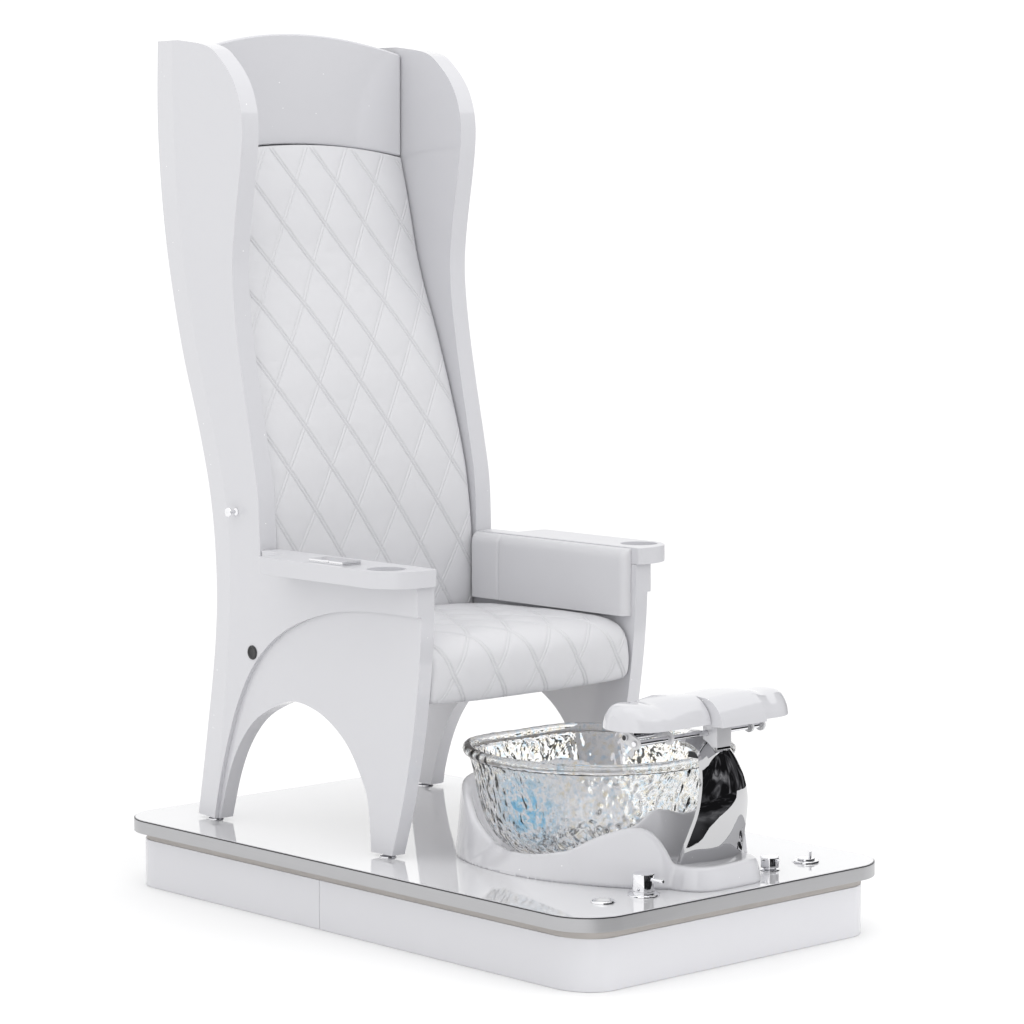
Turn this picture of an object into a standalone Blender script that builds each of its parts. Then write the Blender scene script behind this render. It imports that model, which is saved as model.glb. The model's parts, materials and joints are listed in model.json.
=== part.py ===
"""Pedicure spa chair: a wing-back throne on a plumbed platform, with a glass foot bowl
and a chrome footrest tower.

Frame: metres, +Z up, the sitter faces -Y, and the origin is on the floor under the middle
of the platform. The sitter's right hand side is -X.
"""
import math

import bmesh
import bpy
from mathutils import Matrix, Vector

# ------------------------------------------------------------------ driving dimensions
GAP = 0.0003                # clearance between pieces that touch

PLATE_LENGTH = 1.50         # platform plate along Y
PLATE_WIDTH = 0.885         # platform plate along X
PLATE_CORNER = 0.10
PLATE_TOP = 0.152
PLATE_THICKNESS = 0.027
BAND_HEIGHT = 0.030
BAND_THICKNESS = 0.002
CABINET_INSET = 0.025
CABINET_CORNER = 0.075
CABINET_HEIGHT = 0.104
CABINET_WALL = 0.005
CABINET_SEAM_Y = 0.075      # where the two cabinet halves meet
SUBFRAME_INSET = 0.027
SUBFRAME_WIDTH = 0.050
RAIL_X = 0.322
RAIL_WIDTH = 0.040
RAIL_WALL = 0.003

PANEL_OUTER_X = 0.334       # chair side panels
PANEL_THICKNESS = 0.045
ARC_RECESS = 0.010          # the legs stand back from the panel's face
REAR_CHAMFER = 0.012        # inward lean of the strip along the rear edge
LEG_BOTTOM = PLATE_TOP + 0.008
SHELL_TOP = 1.845

SEAT_TOP = 0.613
SEAT_BOTTOM = 0.498
SEAT_LIP = 0.477
SEAT_FRONT_Y = -0.134
SEAT_BACK_Y = 0.366
BOARD_THICKNESS = 0.018

TRAY_TOP = 0.763
TRAY_THICKNESS = 0.036
TRAY_OUTER_X = 0.415
TRAY_FRONT_Y = -0.154
TRAY_REAR_Y = 0.280
CUP_RADIUS = 0.040
CUP_DEPTH = 0.028
CUP_CENTRE = (0.362, -0.078)
POWER_CENTRE = (-0.370, 0.076)
POWER_LENGTH = 0.110
POWER_WIDTH = 0.052
ARM_PAD_THICKNESS = 0.020

BOWL_CENTRE_Y = -0.335
BOWL_RIM_TOP = 0.395
BOWL_FLOOR = 0.168
BOWL_WALL = 0.008
DRAIN_Y = -0.405
JET_Y = -0.275
TONGUE_TOP = 0.200

NECK_TOP = 0.4802
PIVOT_Y = -0.630            # axis that the outer footrest pads tilt about
PIVOT_Z = 0.4665
CROSS_BAR_Y = -0.654
CROSS_BAR_Z = 0.4565
CROSS_BAR_SPAN = (-0.224, 0.143)
CENTRE_PAD_BOTTOM = 0.4805
PAD_BOTTOM = 0.4845

TAP_Y = -0.647
TAP_RIGHT_X = -0.187
TAP_LEFT_X = 0.175
SMALL_CONTROL_Y = -0.641
BUTTON_X = -0.292
KNOB_X = 0.290

SCREW_STEPS = 24
TINY = 0.00001

# ------------------------------------------------------------------ scene helpers
for old in list(bpy.data.objects):
    bpy.data.objects.remove(old, do_unlink=True)

PART = bpy.data.collections.new("pedicure_spa_chair")
CUTTERS = bpy.data.collections.new("cutters")
for collection in (PART, CUTTERS):
    bpy.context.scene.collection.children.link(collection)

PLANES = {                  # local X, Y and thickness axes of a flat outline
    "XY": Matrix(((1, 0, 0, 0), (0, 1, 0, 0), (0, 0, 1, 0), (0, 0, 0, 1))),
    "YZ": Matrix(((0, 0, 1, 0), (1, 0, 0, 0), (0, 1, 0, 0), (0, 0, 0, 1))),
    "ZX": Matrix(((0, 1, 0, 0), (0, 0, 1, 0), (1, 0, 0, 0), (0, 0, 0, 1))),
}


def make_material(name, color, roughness, metallic=0.0, transmission=0.0):
    material = bpy.data.materials.new(name)
    material.use_nodes = True
    shader = material.node_tree.nodes["Principled BSDF"]
    shader.inputs["Base Color"].default_value = (*color, 1.0)
    shader.inputs["Roughness"].default_value = roughness
    shader.inputs["Metallic"].default_value = metallic
    shader.inputs["Transmission Weight"].default_value = transmission
    material.diffuse_color = (*color, 1.0)
    return material


MATERIALS = {
    "gelcoat": make_material("gelcoat", (0.86, 0.86, 0.88), 0.12),
    "deck": make_material("deck", (0.88, 0.88, 0.89), 0.08),
    "cabinet": make_material("cabinet", (0.82, 0.82, 0.85), 0.30),
    "leather": make_material("leather", (0.84, 0.84, 0.86), 0.45),
    "chrome": make_material("chrome", (0.80, 0.80, 0.82), 0.06, 1.0),
    "brushed": make_material("brushed", (0.62, 0.62, 0.63), 0.32, 1.0),
    "steel": make_material("steel", (0.35, 0.35, 0.36), 0.45, 1.0),
    "glass": make_material("glass", (0.93, 0.97, 1.0), 0.04, 0.0, 1.0),
    "board": make_material("board", (0.28, 0.24, 0.20), 0.60),
    "black": make_material("black", (0.03, 0.03, 0.03), 0.40),
    "white_plastic": make_material("white_plastic", (0.85, 0.85, 0.85), 0.25),
    "rubber": make_material("rubber", (0.06, 0.06, 0.06), 0.70),
    "lens": make_material("lens", (0.45, 0.70, 0.95), 0.20),
}


def link(name, mesh, material, collection=PART):
    obj = bpy.data.objects.new(name, mesh)
    collection.objects.link(obj)
    if material:
        mesh.materials.clear()
        mesh.materials.append(MATERIALS[material])
    if collection is CUTTERS:
        obj.hide_render = True
        obj.display_type = "WIRE"
    return obj


def finish_mesh(name, bm, material, collection=PART):
    """Close a bmesh into an object with outward faces."""
    bmesh.ops.recalc_face_normals(bm, faces=bm.faces)
    mesh = bpy.data.meshes.new(name)
    bm.to_mesh(mesh)
    bm.free()
    return link(name, mesh, material, collection)


def smooth(obj, angle=35.0):
    obj.data.shade_smooth()
    obj.data.set_sharp_from_angle(angle=math.radians(angle))
    return obj


def box(name, low, high, material, collection=PART):
    bm = bmesh.new()
    bmesh.ops.create_cube(bm, size=1.0)
    size = Vector(high) - Vector(low)
    bmesh.ops.scale(bm, vec=size, verts=bm.verts)
    obj = finish_mesh(name, bm, material, collection)
    obj.location = (Vector(high) + Vector(low)) / 2
    return obj


def outline_solid(name, loops, low, high, plane, material, collection=PART):
    """Extrude flat loops (the outer one first, then any holes) between two levels."""
    curve = bpy.data.curves.new(name, "CURVE")
    curve.dimensions = "2D"
    curve.fill_mode = "BOTH"
    curve.extrude = (high - low) / 2
    for loop in loops:
        spline = curve.splines.new("POLY")
        spline.points.add(len(loop) - 1)
        for point, (across, along) in zip(spline.points, loop):
            point.co = (across, along, 0, 1)
        spline.use_cyclic_u = True
    guide = bpy.data.objects.new(name, curve)
    bpy.context.scene.collection.objects.link(guide)
    guide.matrix_world = PLANES[plane] @ Matrix.Translation((0, 0, (low + high) / 2))
    bpy.context.view_layer.update()
    evaluated = guide.evaluated_get(bpy.context.evaluated_depsgraph_get())
    mesh = bpy.data.meshes.new_from_object(evaluated)
    placed = guide.matrix_world.copy()
    bpy.data.objects.remove(guide, do_unlink=True)
    bpy.data.curves.remove(curve)
    bm = bmesh.new()
    bm.from_mesh(mesh)
    bmesh.ops.remove_doubles(bm, verts=bm.verts, dist=TINY)
    bpy.data.meshes.remove(mesh)
    obj = finish_mesh(name, bm, material, collection)
    obj.matrix_world = placed
    return obj


def loft(name, sections, material, ring=False, collection=PART):
    """Skin matching closed cross-sections, capped at both ends or joined into a ring."""
    bm = bmesh.new()
    rings = [[bm.verts.new(point) for point in section] for section in sections]
    followers = rings[1:] + (rings[:1] if ring else [])
    for first, second in zip(rings, followers):
        count = len(first)
        for i in range(count):
            j = (i + 1) % count
            bm.faces.new((first[i], first[j], second[j], second[i]))
    if not ring:
        bm.faces.new(rings[0])
        bm.faces.new(rings[-1])
    return finish_mesh(name, bm, material, collection)


def turned(name, profile, material, location, axis="Z", closed=False, steps=SCREW_STEPS,
           collection=PART):
    """Turn a (radius, height) profile, which runs down its outer side, about an axis."""
    bm = bmesh.new()
    points = [bm.verts.new((radius, 0, height)) for radius, height in profile]
    for first, second in zip(points, points[1:] + (points[:1] if closed else [])):
        bm.edges.new((first, second))
    mesh = bpy.data.meshes.new(name)
    bm.to_mesh(mesh)
    bm.free()
    obj = link(name, mesh, material, collection)
    screw = obj.modifiers.new("turn", "SCREW")
    screw.steps = steps
    screw.render_steps = steps
    screw.use_merge_vertices = True
    screw.merge_threshold = TINY
    obj.location = location
    if axis == "X":
        obj.rotation_euler = (0, math.radians(90), 0)
    elif axis == "-X":
        obj.rotation_euler = (0, math.radians(-90), 0)
    elif axis == "-Y":
        obj.rotation_euler = (math.radians(90), 0, 0)
    return obj


def combine(obj, other, operation):
    modifier = obj.modifiers.new(operation.lower(), "BOOLEAN")
    modifier.operation = operation
    modifier.solver = "EXACT"
    modifier.object = other
    return obj


def flow(points, steps, closed=False):
    """Catmull-Rom points through a run of 2D points."""
    count = len(points)
    spans = count if closed else count - 1
    result = []
    for i in range(spans):
        if closed:
            a, b, c, d = (points[(i + k) % count] for k in (-1, 0, 1, 2))
        else:
            a, b, c = points[max(i - 1, 0)], points[i], points[i + 1]
            d = points[min(i + 2, count - 1)]
        for k in range(steps):
            t = k / steps
            result.append(tuple(
                0.5 * (2 * q + (r - p) * t + (2 * p - 5 * q + 4 * r - s) * t * t
                       + (3 * q - p - 3 * r + s) * t ** 3)
                for p, q, r, s in zip(a, b, c, d)))
    if not closed:
        result.append(tuple(points[-1]))
    return result


def interpolate(table, x):
    """Piecewise linear value at x from (x, value) pairs in rising order."""
    if x <= table[0][0]:
        return table[0][1]
    for (x0, v0), (x1, v1) in zip(table, table[1:]):
        if x <= x1:
            return v0 + (v1 - v0) * (x - x0) / (x1 - x0)
    return table[-1][1]


def rounded_rectangle(x0, x1, y0, y1, radii, steps=6):
    """Loop from the (x0, y0) corner counter-clockwise; radii follow the same order."""
    corners = ((x0, y0, 1, 1, 180), (x1, y0, -1, 1, 270), (x1, y1, -1, -1, 0),
               (x0, y1, 1, -1, 90))
    loop = []
    for (x, y, sx, sy, start), radius in zip(corners, radii):
        if radius == 0:
            loop.append((x, y))
            continue
        for k in range(steps + 1):
            angle = math.radians(start + 90 * k / steps)
            loop.append((x + radius * (sx + math.cos(angle)),
                         y + radius * (sy + math.sin(angle))))
    return loop


def circle(x, y, radius, steps=16):
    return [(x + radius * math.cos(2 * math.pi * k / steps),
             y + radius * math.sin(2 * math.pi * k / steps)) for k in range(steps)]


def capsule(a, b, radius, steps=6):
    """Outline round two centres."""
    heading = math.atan2(b[1] - a[1], b[0] - a[0])
    loop = []
    for centre, start in ((b, -90), (a, 90)):
        for k in range(steps + 1):
            angle = heading + math.radians(start + 180 * k / steps)
            loop.append((centre[0] + radius * math.cos(angle),
                         centre[1] + radius * math.sin(angle)))
    return loop


def mirrored(loop, side):
    """The same loop on the sitter's left (side 1) or right (side -1)."""
    return [(side * x, y) for x, y in (loop if side > 0 else loop[::-1])]


def pivot(name, location):
    empty = bpy.data.objects.new(name, None)
    empty.location = location
    empty.empty_display_size = 0.03
    PART.objects.link(empty)
    bpy.context.view_layer.update()
    return empty


def carry(empty, *pieces):
    for piece in pieces:
        piece.parent = empty
        piece.matrix_parent_inverse = empty.matrix_world.inverted()


# ------------------------------------------------------------------ platform
def plate_loop(inset, corner):
    x, y = PLATE_WIDTH / 2 - inset, PLATE_LENGTH / 2 - inset
    return rounded_rectangle(-x, x, -y, y, (corner,) * 4)


def cabinet_half(name, end):
    """A U-shaped skirt that is open to the seam; end is -1 for the front half."""
    x = PLATE_WIDTH / 2 - CABINET_INSET
    y = PLATE_LENGTH / 2 - CABINET_INSET
    seam = CABINET_SEAM_Y + end * GAP
    r, wall = CABINET_CORNER, CABINET_WALL
    outer = rounded_rectangle(-x, x, seam, y, (0, 0, r, r))
    inner = rounded_rectangle(-x + wall, x - wall, seam, y - wall, (0, 0, r - wall, r - wall))
    loop = outer[1:] + outer[:1] + inner[:1] + inner[1:][::-1]
    if end < 0:
        loop = [(px, (py - seam) * -(y + seam) / (y - seam) + seam) for px, py in loop]
    return outline_solid(name, [loop], 0, CABINET_HEIGHT, "XY", "cabinet")


def build_platform():
    cabinet_half("cabinet_rear", 1)
    cabinet_half("cabinet_front", -1)
    frame_top = PLATE_TOP - PLATE_THICKNESS - GAP
    outline_solid("platform_sub_frame",
                  [plate_loop(SUBFRAME_INSET, CABINET_CORNER),
                   plate_loop(SUBFRAME_INSET + SUBFRAME_WIDTH, 0.008)],
                  CABINET_HEIGHT + GAP, frame_top, "XY", "board")
    holes = [circle(0, DRAIN_Y, 0.024), circle(0, JET_Y, 0.0375),
             circle(TAP_RIGHT_X, TAP_Y, 0.0125), circle(TAP_LEFT_X, TAP_Y, 0.0125),
             circle(BUTTON_X, SMALL_CONTROL_Y, 0.0207),
             circle(KNOB_X, SMALL_CONTROL_Y, 0.0105)]
    inset = BAND_THICKNESS + GAP
    outline_solid("platform_top", [plate_loop(inset, PLATE_CORNER - inset), *holes],
                  PLATE_TOP - PLATE_THICKNESS, PLATE_TOP, "XY", "deck")
    outline_solid("platform_edge_band",
                  [plate_loop(0, PLATE_CORNER), plate_loop(BAND_THICKNESS,
                                                           PLATE_CORNER - BAND_THICKNESS)],
                  PLATE_TOP - BAND_HEIGHT, PLATE_TOP, "XY", "brushed")
    half_length = PLATE_LENGTH / 2 - SUBFRAME_INSET - SUBFRAME_WIDTH - 0.010
    for side, name in ((-1, "base_rail_right"), (1, "base_rail_left")):
        x0, x1 = sorted((side * RAIL_X, side * (RAIL_X + RAIL_WIDTH)))
        outer = [(0, x0), (0, x1), (frame_top, x1), (frame_top, x0)]
        inner = [(RAIL_WALL, x0 + RAIL_WALL), (RAIL_WALL, x1 - RAIL_WALL),
                 (frame_top - RAIL_WALL, x1 - RAIL_WALL), (frame_top - RAIL_WALL, x0 + RAIL_WALL)]
        outline_solid(name, [outer, inner], -half_length, half_length, "ZX", "steel")


# ------------------------------------------------------------------ chair shell
REAR_EDGE = [(0.600, LEG_BOTTOM), (0.573, 0.327), (0.540, 0.540), (0.534, 0.700),
             (0.555, 0.870), (0.598, 1.028), (0.650, 1.180), (0.697, 1.370),
             (0.722, 1.530), (0.733, 1.690), (0.728, 1.851)]
CREASE = [(0.545, LEG_BOTTOM - 0.06), (0.518, 0.260), (0.490, 0.470), (0.475, 0.640),
          (0.480, 0.830), (0.519, 0.990), (0.566, 1.130), (0.607, 1.280),
          (0.640, 1.450), (0.658, 1.640), (0.664, 1.920)]
WING_TOP = [(0.640, 1.851), (0.540, 1.836), (0.488, 1.803), (0.447, 1.757),
            (0.424, 1.700), (0.420, 1.640), (0.430, 1.560), (0.447, 1.460),
            (0.457, 1.370), (0.453, 1.290), (0.438, 1.190), (0.416, 1.080),
            (0.392, 0.970), (0.374, 0.870), (0.368, TRAY_TOP - TRAY_THICKNESS - GAP)]
ARM_FRONT = [(-0.142, TRAY_TOP - TRAY_THICKNESS - GAP), (-0.142, 0.650), (-0.132, 0.530),
             (-0.112, 0.400), (-0.082, 0.270), (-0.048, LEG_BOTTOM)]
ARCH = [(0.018, LEG_BOTTOM), (0.028, 0.262), (0.052, 0.316), (0.090, 0.370),
        (0.140, 0.410), (0.200, 0.437), (0.270, 0.447), (0.330, 0.430),
        (0.400, 0.393), (0.455, 0.335), (0.495, 0.260), (0.530, LEG_BOTTOM)]
ARC_STEP = [(0.535, LEG_BOTTOM - 0.06), (0.532, 0.170), (0.500, 0.295), (0.447, 0.430),
            (0.378, 0.530), (0.278, 0.602), (0.142, 0.648), (0.000, 0.664),
            (-0.220, 0.665)]


def panel_outline():
    return (flow(REAR_EDGE, 2) + flow(WING_TOP, 2) + flow(ARM_FRONT, 2)
            + flow(ARCH, 2))


def side_panel(name, side):
    """Wing, arm and legs in one moulding, with a recessed arc and a chamfered rear edge."""
    outer = side * PANEL_OUTER_X
    inner = side * (PANEL_OUTER_X - PANEL_THICKNESS)
    panel = outline_solid(name, [panel_outline()], min(inner, outer), max(inner, outer),
                          "YZ", "gelcoat")
    margin = 0.05
    step = flow(ARC_STEP, 2) + [(-0.220, 0.05), (0.535, 0.05)]
    depth = sorted((side * (PANEL_OUTER_X - ARC_RECESS), side * (PANEL_OUTER_X + margin)))
    combine(panel, outline_solid(name + "_arc", [step], *depth, "YZ", None, CUTTERS),
            "DIFFERENCE")
    slope = REAR_CHAMFER / 0.070
    sections = []
    for y, z in flow(CREASE, 1):
        reach = 0.20
        sections.append([(outer, y, z), (outer - side * slope * reach, y + reach, z),
                         (outer + side * margin, y + reach, z), (outer + side * margin, y, z)])
    combine(panel, loft(name + "_chamfer", sections, None, collection=CUTTERS), "DIFFERENCE")
    return panel


def rear_edge_y(z):
    return interpolate([(height, y) for y, height in REAR_EDGE], z)


HALF_INSIDE = PANEL_OUTER_X - PANEL_THICKNESS - GAP
SHELL_OFFSET = 0.020        # back shell face inside the panels' rear edge
SHELL_SHEET = 0.010
HEADREST_LOW = 1.603        # headrest panel's bottom edge at the wings
HEADREST_RISE = 0.027       # how far its bottom arches up at the middle
HEADREST_HIGH = 1.833
HEADREST_CROWN = 0.041
CUSHION_FRONT = [(0.500, 0.376), (0.690, 0.372), (0.850, 0.386), (0.962, 0.410),
                 (1.096, 0.453), (1.208, 0.494), (1.354, 0.552), (1.502, 0.590),
                 (1.620, 0.622)]


def build_shell():
    side_panel("side_panel_right", -1)
    side_panel("side_panel_left", 1)
    heights = [0.45 + (SHELL_TOP - 0.45) * k / 12 for k in range(13)]
    rear = [(rear_edge_y(z) - SHELL_OFFSET, z) for z in heights]
    front = [(y - SHELL_SHEET, z) for y, z in rear[::-1]]
    outline_solid("back_shell", [rear + front], -HALF_INSIDE, HALF_INSIDE, "YZ", "gelcoat")
    build_headrest()


def build_headrest():
    columns, rows = 10, 4
    bm = bmesh.new()
    grid = []
    for i in range(columns + 1):
        share = 2 * i / columns - 1
        arch = 1 - share * share
        low = HEADREST_LOW + HEADREST_RISE * arch
        high = HEADREST_HIGH + HEADREST_CROWN * arch
        column = []
        for j in range(rows + 1):
            z = low + (high - low) * j / rows
            y = 0.632 + 0.022 * arch
            column.append(bm.verts.new((share * (HALF_INSIDE - 0.002), y, z)))
        grid.append(column)
    for first, second in zip(grid, grid[1:]):
        for j in range(rows):
            bm.faces.new((first[j], second[j], second[j + 1], first[j + 1]))
    panel = finish_mesh("headrest_panel", bm, "gelcoat")
    sheet = panel.modifiers.new("thickness", "SOLIDIFY")
    sheet.thickness = 0.022
    sheet.offset = 0
    sheet.use_even_offset = True


def build_upholstery():
    half = HALF_INSIDE - 0.001
    sections = []
    for share in (-1.0, -0.55, 0.0, 0.55, 1.0):
        top = HEADREST_LOW + HEADREST_RISE * (1 - share * share) - 0.004
        heights = [0.520 + (top - 0.520) * k / 8 for k in range(9)]
        front = [(share * half, interpolate(CUSHION_FRONT, z), z) for z in heights]
        rear = [(share * half, rear_edge_y(z) - SHELL_OFFSET - SHELL_SHEET - 0.006, z)
                for z in heights[::-1]]
        sections.append(front + rear)
    loft("back_cushion", sections, "leather")
    outline = [(SEAT_FRONT_Y + 0.018, SEAT_LIP), (SEAT_FRONT_Y + 0.002, 0.495),
               (SEAT_FRONT_Y, 0.540), (SEAT_FRONT_Y + 0.008, 0.582),
               (SEAT_FRONT_Y + 0.034, 0.605), (SEAT_FRONT_Y + 0.080, SEAT_TOP),
               (0.200, SEAT_TOP), (SEAT_BACK_Y, SEAT_TOP - 0.010),
               (SEAT_BACK_Y, SEAT_BOTTOM), (SEAT_FRONT_Y + 0.050, SEAT_BOTTOM),
               (SEAT_FRONT_Y + 0.048, SEAT_LIP)]
    outline_solid("seat_cushion", [outline], -half, half, "YZ", "leather")
    board_top = SEAT_BOTTOM - GAP
    box("seat_board", (-HALF_INSIDE, SEAT_FRONT_Y + 0.051, board_top - BOARD_THICKNESS),
        (HALF_INSIDE, 0.480, board_top), "board")


# ------------------------------------------------------------------ arms
def arm_tray(name, side):
    """Overhanging tray that also caps the arm panel, with a cup recess."""
    inner = HALF_INSIDE + GAP
    outer, front, rear = TRAY_OUTER_X, TRAY_FRONT_Y, TRAY_REAR_Y
    body = rounded_rectangle(inner, outer, front, rear, (0.006, 0.050, 0.012, 0))
    body = body[:-1] + [(PANEL_OUTER_X + GAP, rear), (PANEL_OUTER_X + GAP, 0.362),
                        (inner, 0.362)]
    tray = outline_solid(name, [mirrored(body, side)], TRAY_TOP - TRAY_THICKNESS, TRAY_TOP,
                         "XY", "gelcoat")
    cup = turned(name + "_cup", [(0, 0.02), (CUP_RADIUS, 0.02), (CUP_RADIUS, -CUP_DEPTH),
                                 (0, -CUP_DEPTH)], None,
                 (side * CUP_CENTRE[0], CUP_CENTRE[1], TRAY_TOP), collection=CUTTERS)
    return combine(tray, cup, "DIFFERENCE")


def arm_pad(name, side):
    """Upholstered inner face of the arm, with a rounded front and a rounded top edge."""
    inner = HALF_INSIDE - ARM_PAD_THICKNESS
    front, rear = -0.128, 0.362
    low = SEAT_TOP + 0.004
    sections = []
    for inset, height in ((0, low), (0, 0.735), (0.003, 0.748), (0.010, 0.757),
                          (0.0185, 0.760)):
        loop = rounded_rectangle(inner + inset, HALF_INSIDE, front + inset, rear,
                                 (0.0199 - inset, 0, 0, 0), 4)
        sections.append([(x, y, height) for x, y in mirrored(loop, side)])
    return loft(name, sections, "leather")


def build_power_box():
    """A covered outlet let into the right tray, its lid hinged along the inboard edge."""
    x, y = POWER_CENTRE
    half_x, half_y = POWER_WIDTH / 2, POWER_LENGTH / 2
    depth, rim = 0.020, 0.008
    pocket = box("power_box_pocket", (x - half_x + rim, y - half_y + rim, TRAY_TOP - depth),
                 (x + half_x - rim, y + half_y - rim, TRAY_TOP + 0.02), None, CUTTERS)
    combine(bpy.data.objects["arm_tray_right"], pocket, "DIFFERENCE")
    outer = rounded_rectangle(x - half_x, x + half_x, y - half_y, y + half_y, (0.003,) * 4, 2)
    inner = rounded_rectangle(x - half_x + rim, x + half_x - rim, y - half_y + rim,
                              y + half_y - rim, (0.002,) * 4, 2)
    frame_low, frame_high = TRAY_TOP + GAP, TRAY_TOP + 0.003
    outline_solid("power_box_frame", [outer, inner], frame_low, frame_high, "XY", "chrome")
    inset = rim + GAP
    insert = box("power_box_socket", (x - half_x + inset, y - half_y + inset,
                                      TRAY_TOP - depth + GAP),
                 (x + half_x - inset, y + half_y - inset, TRAY_TOP - 0.006), "black")
    for shift in (-0.024, 0.024):
        port = box("power_box_port", (x - 0.008, y + shift - 0.012, TRAY_TOP - 0.014),
                   (x + 0.008, y + shift + 0.012, TRAY_TOP), None, CUTTERS)
        combine(insert, port, "DIFFERENCE")
    lid_low = frame_high + GAP
    hinge = (x + half_x, y, lid_low)
    notch = circle(x - half_x - 0.006, y - 0.004, 0.010, 12)
    lid = outline_solid("power_box_lid", [outer], lid_low, lid_low + 0.004, "XY", "chrome")
    combine(lid, outline_solid("power_box_notch", [notch], TRAY_TOP, TRAY_TOP + 0.03, "XY",
                               None, CUTTERS), "DIFFERENCE")
    carry(pivot("power_box_lid_hinge", hinge), lid)


def build_arms():
    for side, word in ((-1, "right"), (1, "left")):
        arm_tray("arm_tray_" + word, side)
        arm_pad("arm_pad_" + word, side)
    build_power_box()


# ------------------------------------------------------------------ chair hardware
def build_hardware():
    face = -PANEL_OUTER_X - GAP
    turned("purse_hook", [(0, 0.026), (0.006, 0.026), (0.0105, 0.021), (0.0105, 0.020),
                          (0.004, 0.015), (0.004, 0.002), (0.008, 0.002), (0.008, 0),
                          (0, 0)], "chrome", (face, 0.450, 0.840), "-X", steps=16)
    turned("cable_grommet", [(0, 0.0010), (0.009, 0.0010), (0.010, 0.0030),
                             (0.014, 0.0030), (0.0155, 0.0015), (0.0155, 0), (0, 0)],
           "black", (face, 0.397, 0.540), "-X", steps=20)
    leg_x = PANEL_OUTER_X - ARC_RECESS - (PANEL_THICKNESS - ARC_RECESS) / 2
    for end, y in (("rear", 0.565), ("front", -0.015)):
        for side, word in ((-1, "right"), (1, "left")):
            turned("leveling_foot_%s_%s" % (end, word),
                   [(0, 0.0074), (0.007, 0.0074), (0.007, 0.004), (0.017, 0.003),
                    (0.018, 0), (0, 0)],
                   "chrome", (side * leg_x, y, PLATE_TOP + GAP), steps=16)


# ------------------------------------------------------------------ foot bowl
BOWL_HALF = [(0, -0.078), (0.128, -0.082), (0.205, -0.136), (0.258, -0.220),
             (0.279, -0.315), (0.262, -0.420), (0.205, -0.520), (0.105, -0.583),
             (0, -0.600)]
CRADLE_HALF = [(0, -0.036), (0.118, -0.046), (0.186, -0.090), (0.234, -0.190),
               (0.250, -0.310), (0.236, -0.430), (0.185, -0.525), (0.098, -0.590),
               (0, -0.608)]
BOWL_SCALE = [(BOWL_FLOOR, 0.52), (0.173, 0.600), (0.185, 0.672), (0.205, 0.755),
              (0.239, 0.835), (0.291, 0.890), (0.349, 0.932), (0.375, 0.955)]
CRADLE_HEIGHT = [(-0.600, 0.286), (-0.570, 0.272), (-0.535, 0.242), (-0.473, 0.2085),
                 (-0.410, 0.195), (-0.341, 0.1885), (-0.260, 0.186), (-0.205, 0.194),
                 (-0.170, 0.245), (-0.140, 0.288), (-0.110, 0.310), (-0.078, 0.318)]
TONGUE_HALF = 0.110
TONGUE_FRONT = -0.722
TONGUE_DRAFT = 0.013


def closed_outline(half):
    """Full loop of 32 points from a right-hand half that starts and ends on X = 0."""
    return flow(half + [(-x, y) for x, y in half[-2:0:-1]], 2, closed=True)


BOWL_LOOP = closed_outline(BOWL_HALF)
CRADLE_LOOP = closed_outline(CRADLE_HALF)


def scaled(point, scale, offset=0.0):
    """A bowl outline point drawn in towards the bowl's axis, then moved out by offset."""
    dx, dy = point[0], point[1] - BOWL_CENTRE_Y
    length = math.hypot(dx, dy)
    factor = scale + offset / length
    return dx * factor, BOWL_CENTRE_Y + dy * factor


def bowl_section(scale, z, offset=0.0):
    return [(*scaled(point, scale, offset), z) for point in BOWL_LOOP]


def build_bowl():
    outside = [bowl_section(scale, z) for z, scale in BOWL_SCALE]
    bead = [bowl_section(1, BOWL_RIM_TOP - 0.013, -0.002), bowl_section(1, BOWL_RIM_TOP - 0.007),
            bowl_section(1, BOWL_RIM_TOP - 0.002, -0.002), bowl_section(1, BOWL_RIM_TOP, -0.008),
            bowl_section(1, BOWL_RIM_TOP - 0.002, -0.015),
            bowl_section(1, BOWL_RIM_TOP - 0.009, -0.018)]
    inside = [bowl_section(scale, z, -BOWL_WALL) for z, scale in BOWL_SCALE[:2:-1]]
    floor = BOWL_FLOOR + BOWL_WALL
    inside += [bowl_section(0.640, floor + 0.004, -BOWL_WALL),
               bowl_section(0.590, floor, -BOWL_WALL)]
    bowl = loft("glass_bowl", outside + bead + inside, "glass")
    drain = turned("bowl_drain_hole", [(0, 0.05), (0.0225, 0.05), (0.0225, -0.05), (0, -0.05)],
                   None, (0, DRAIN_Y, BOWL_FLOOR), collection=CUTTERS)
    combine(bowl, drain, "DIFFERENCE")
    smooth(bowl)
    outer = [scaled(point, 0.50) for point in BOWL_LOOP]
    inner = [scaled(point, 0.455) for point in BOWL_LOOP]
    outline_solid("bowl_seat_ring", [outer, inner], PLATE_TOP + GAP, BOWL_FLOOR - GAP, "XY",
                  "rubber")


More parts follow.
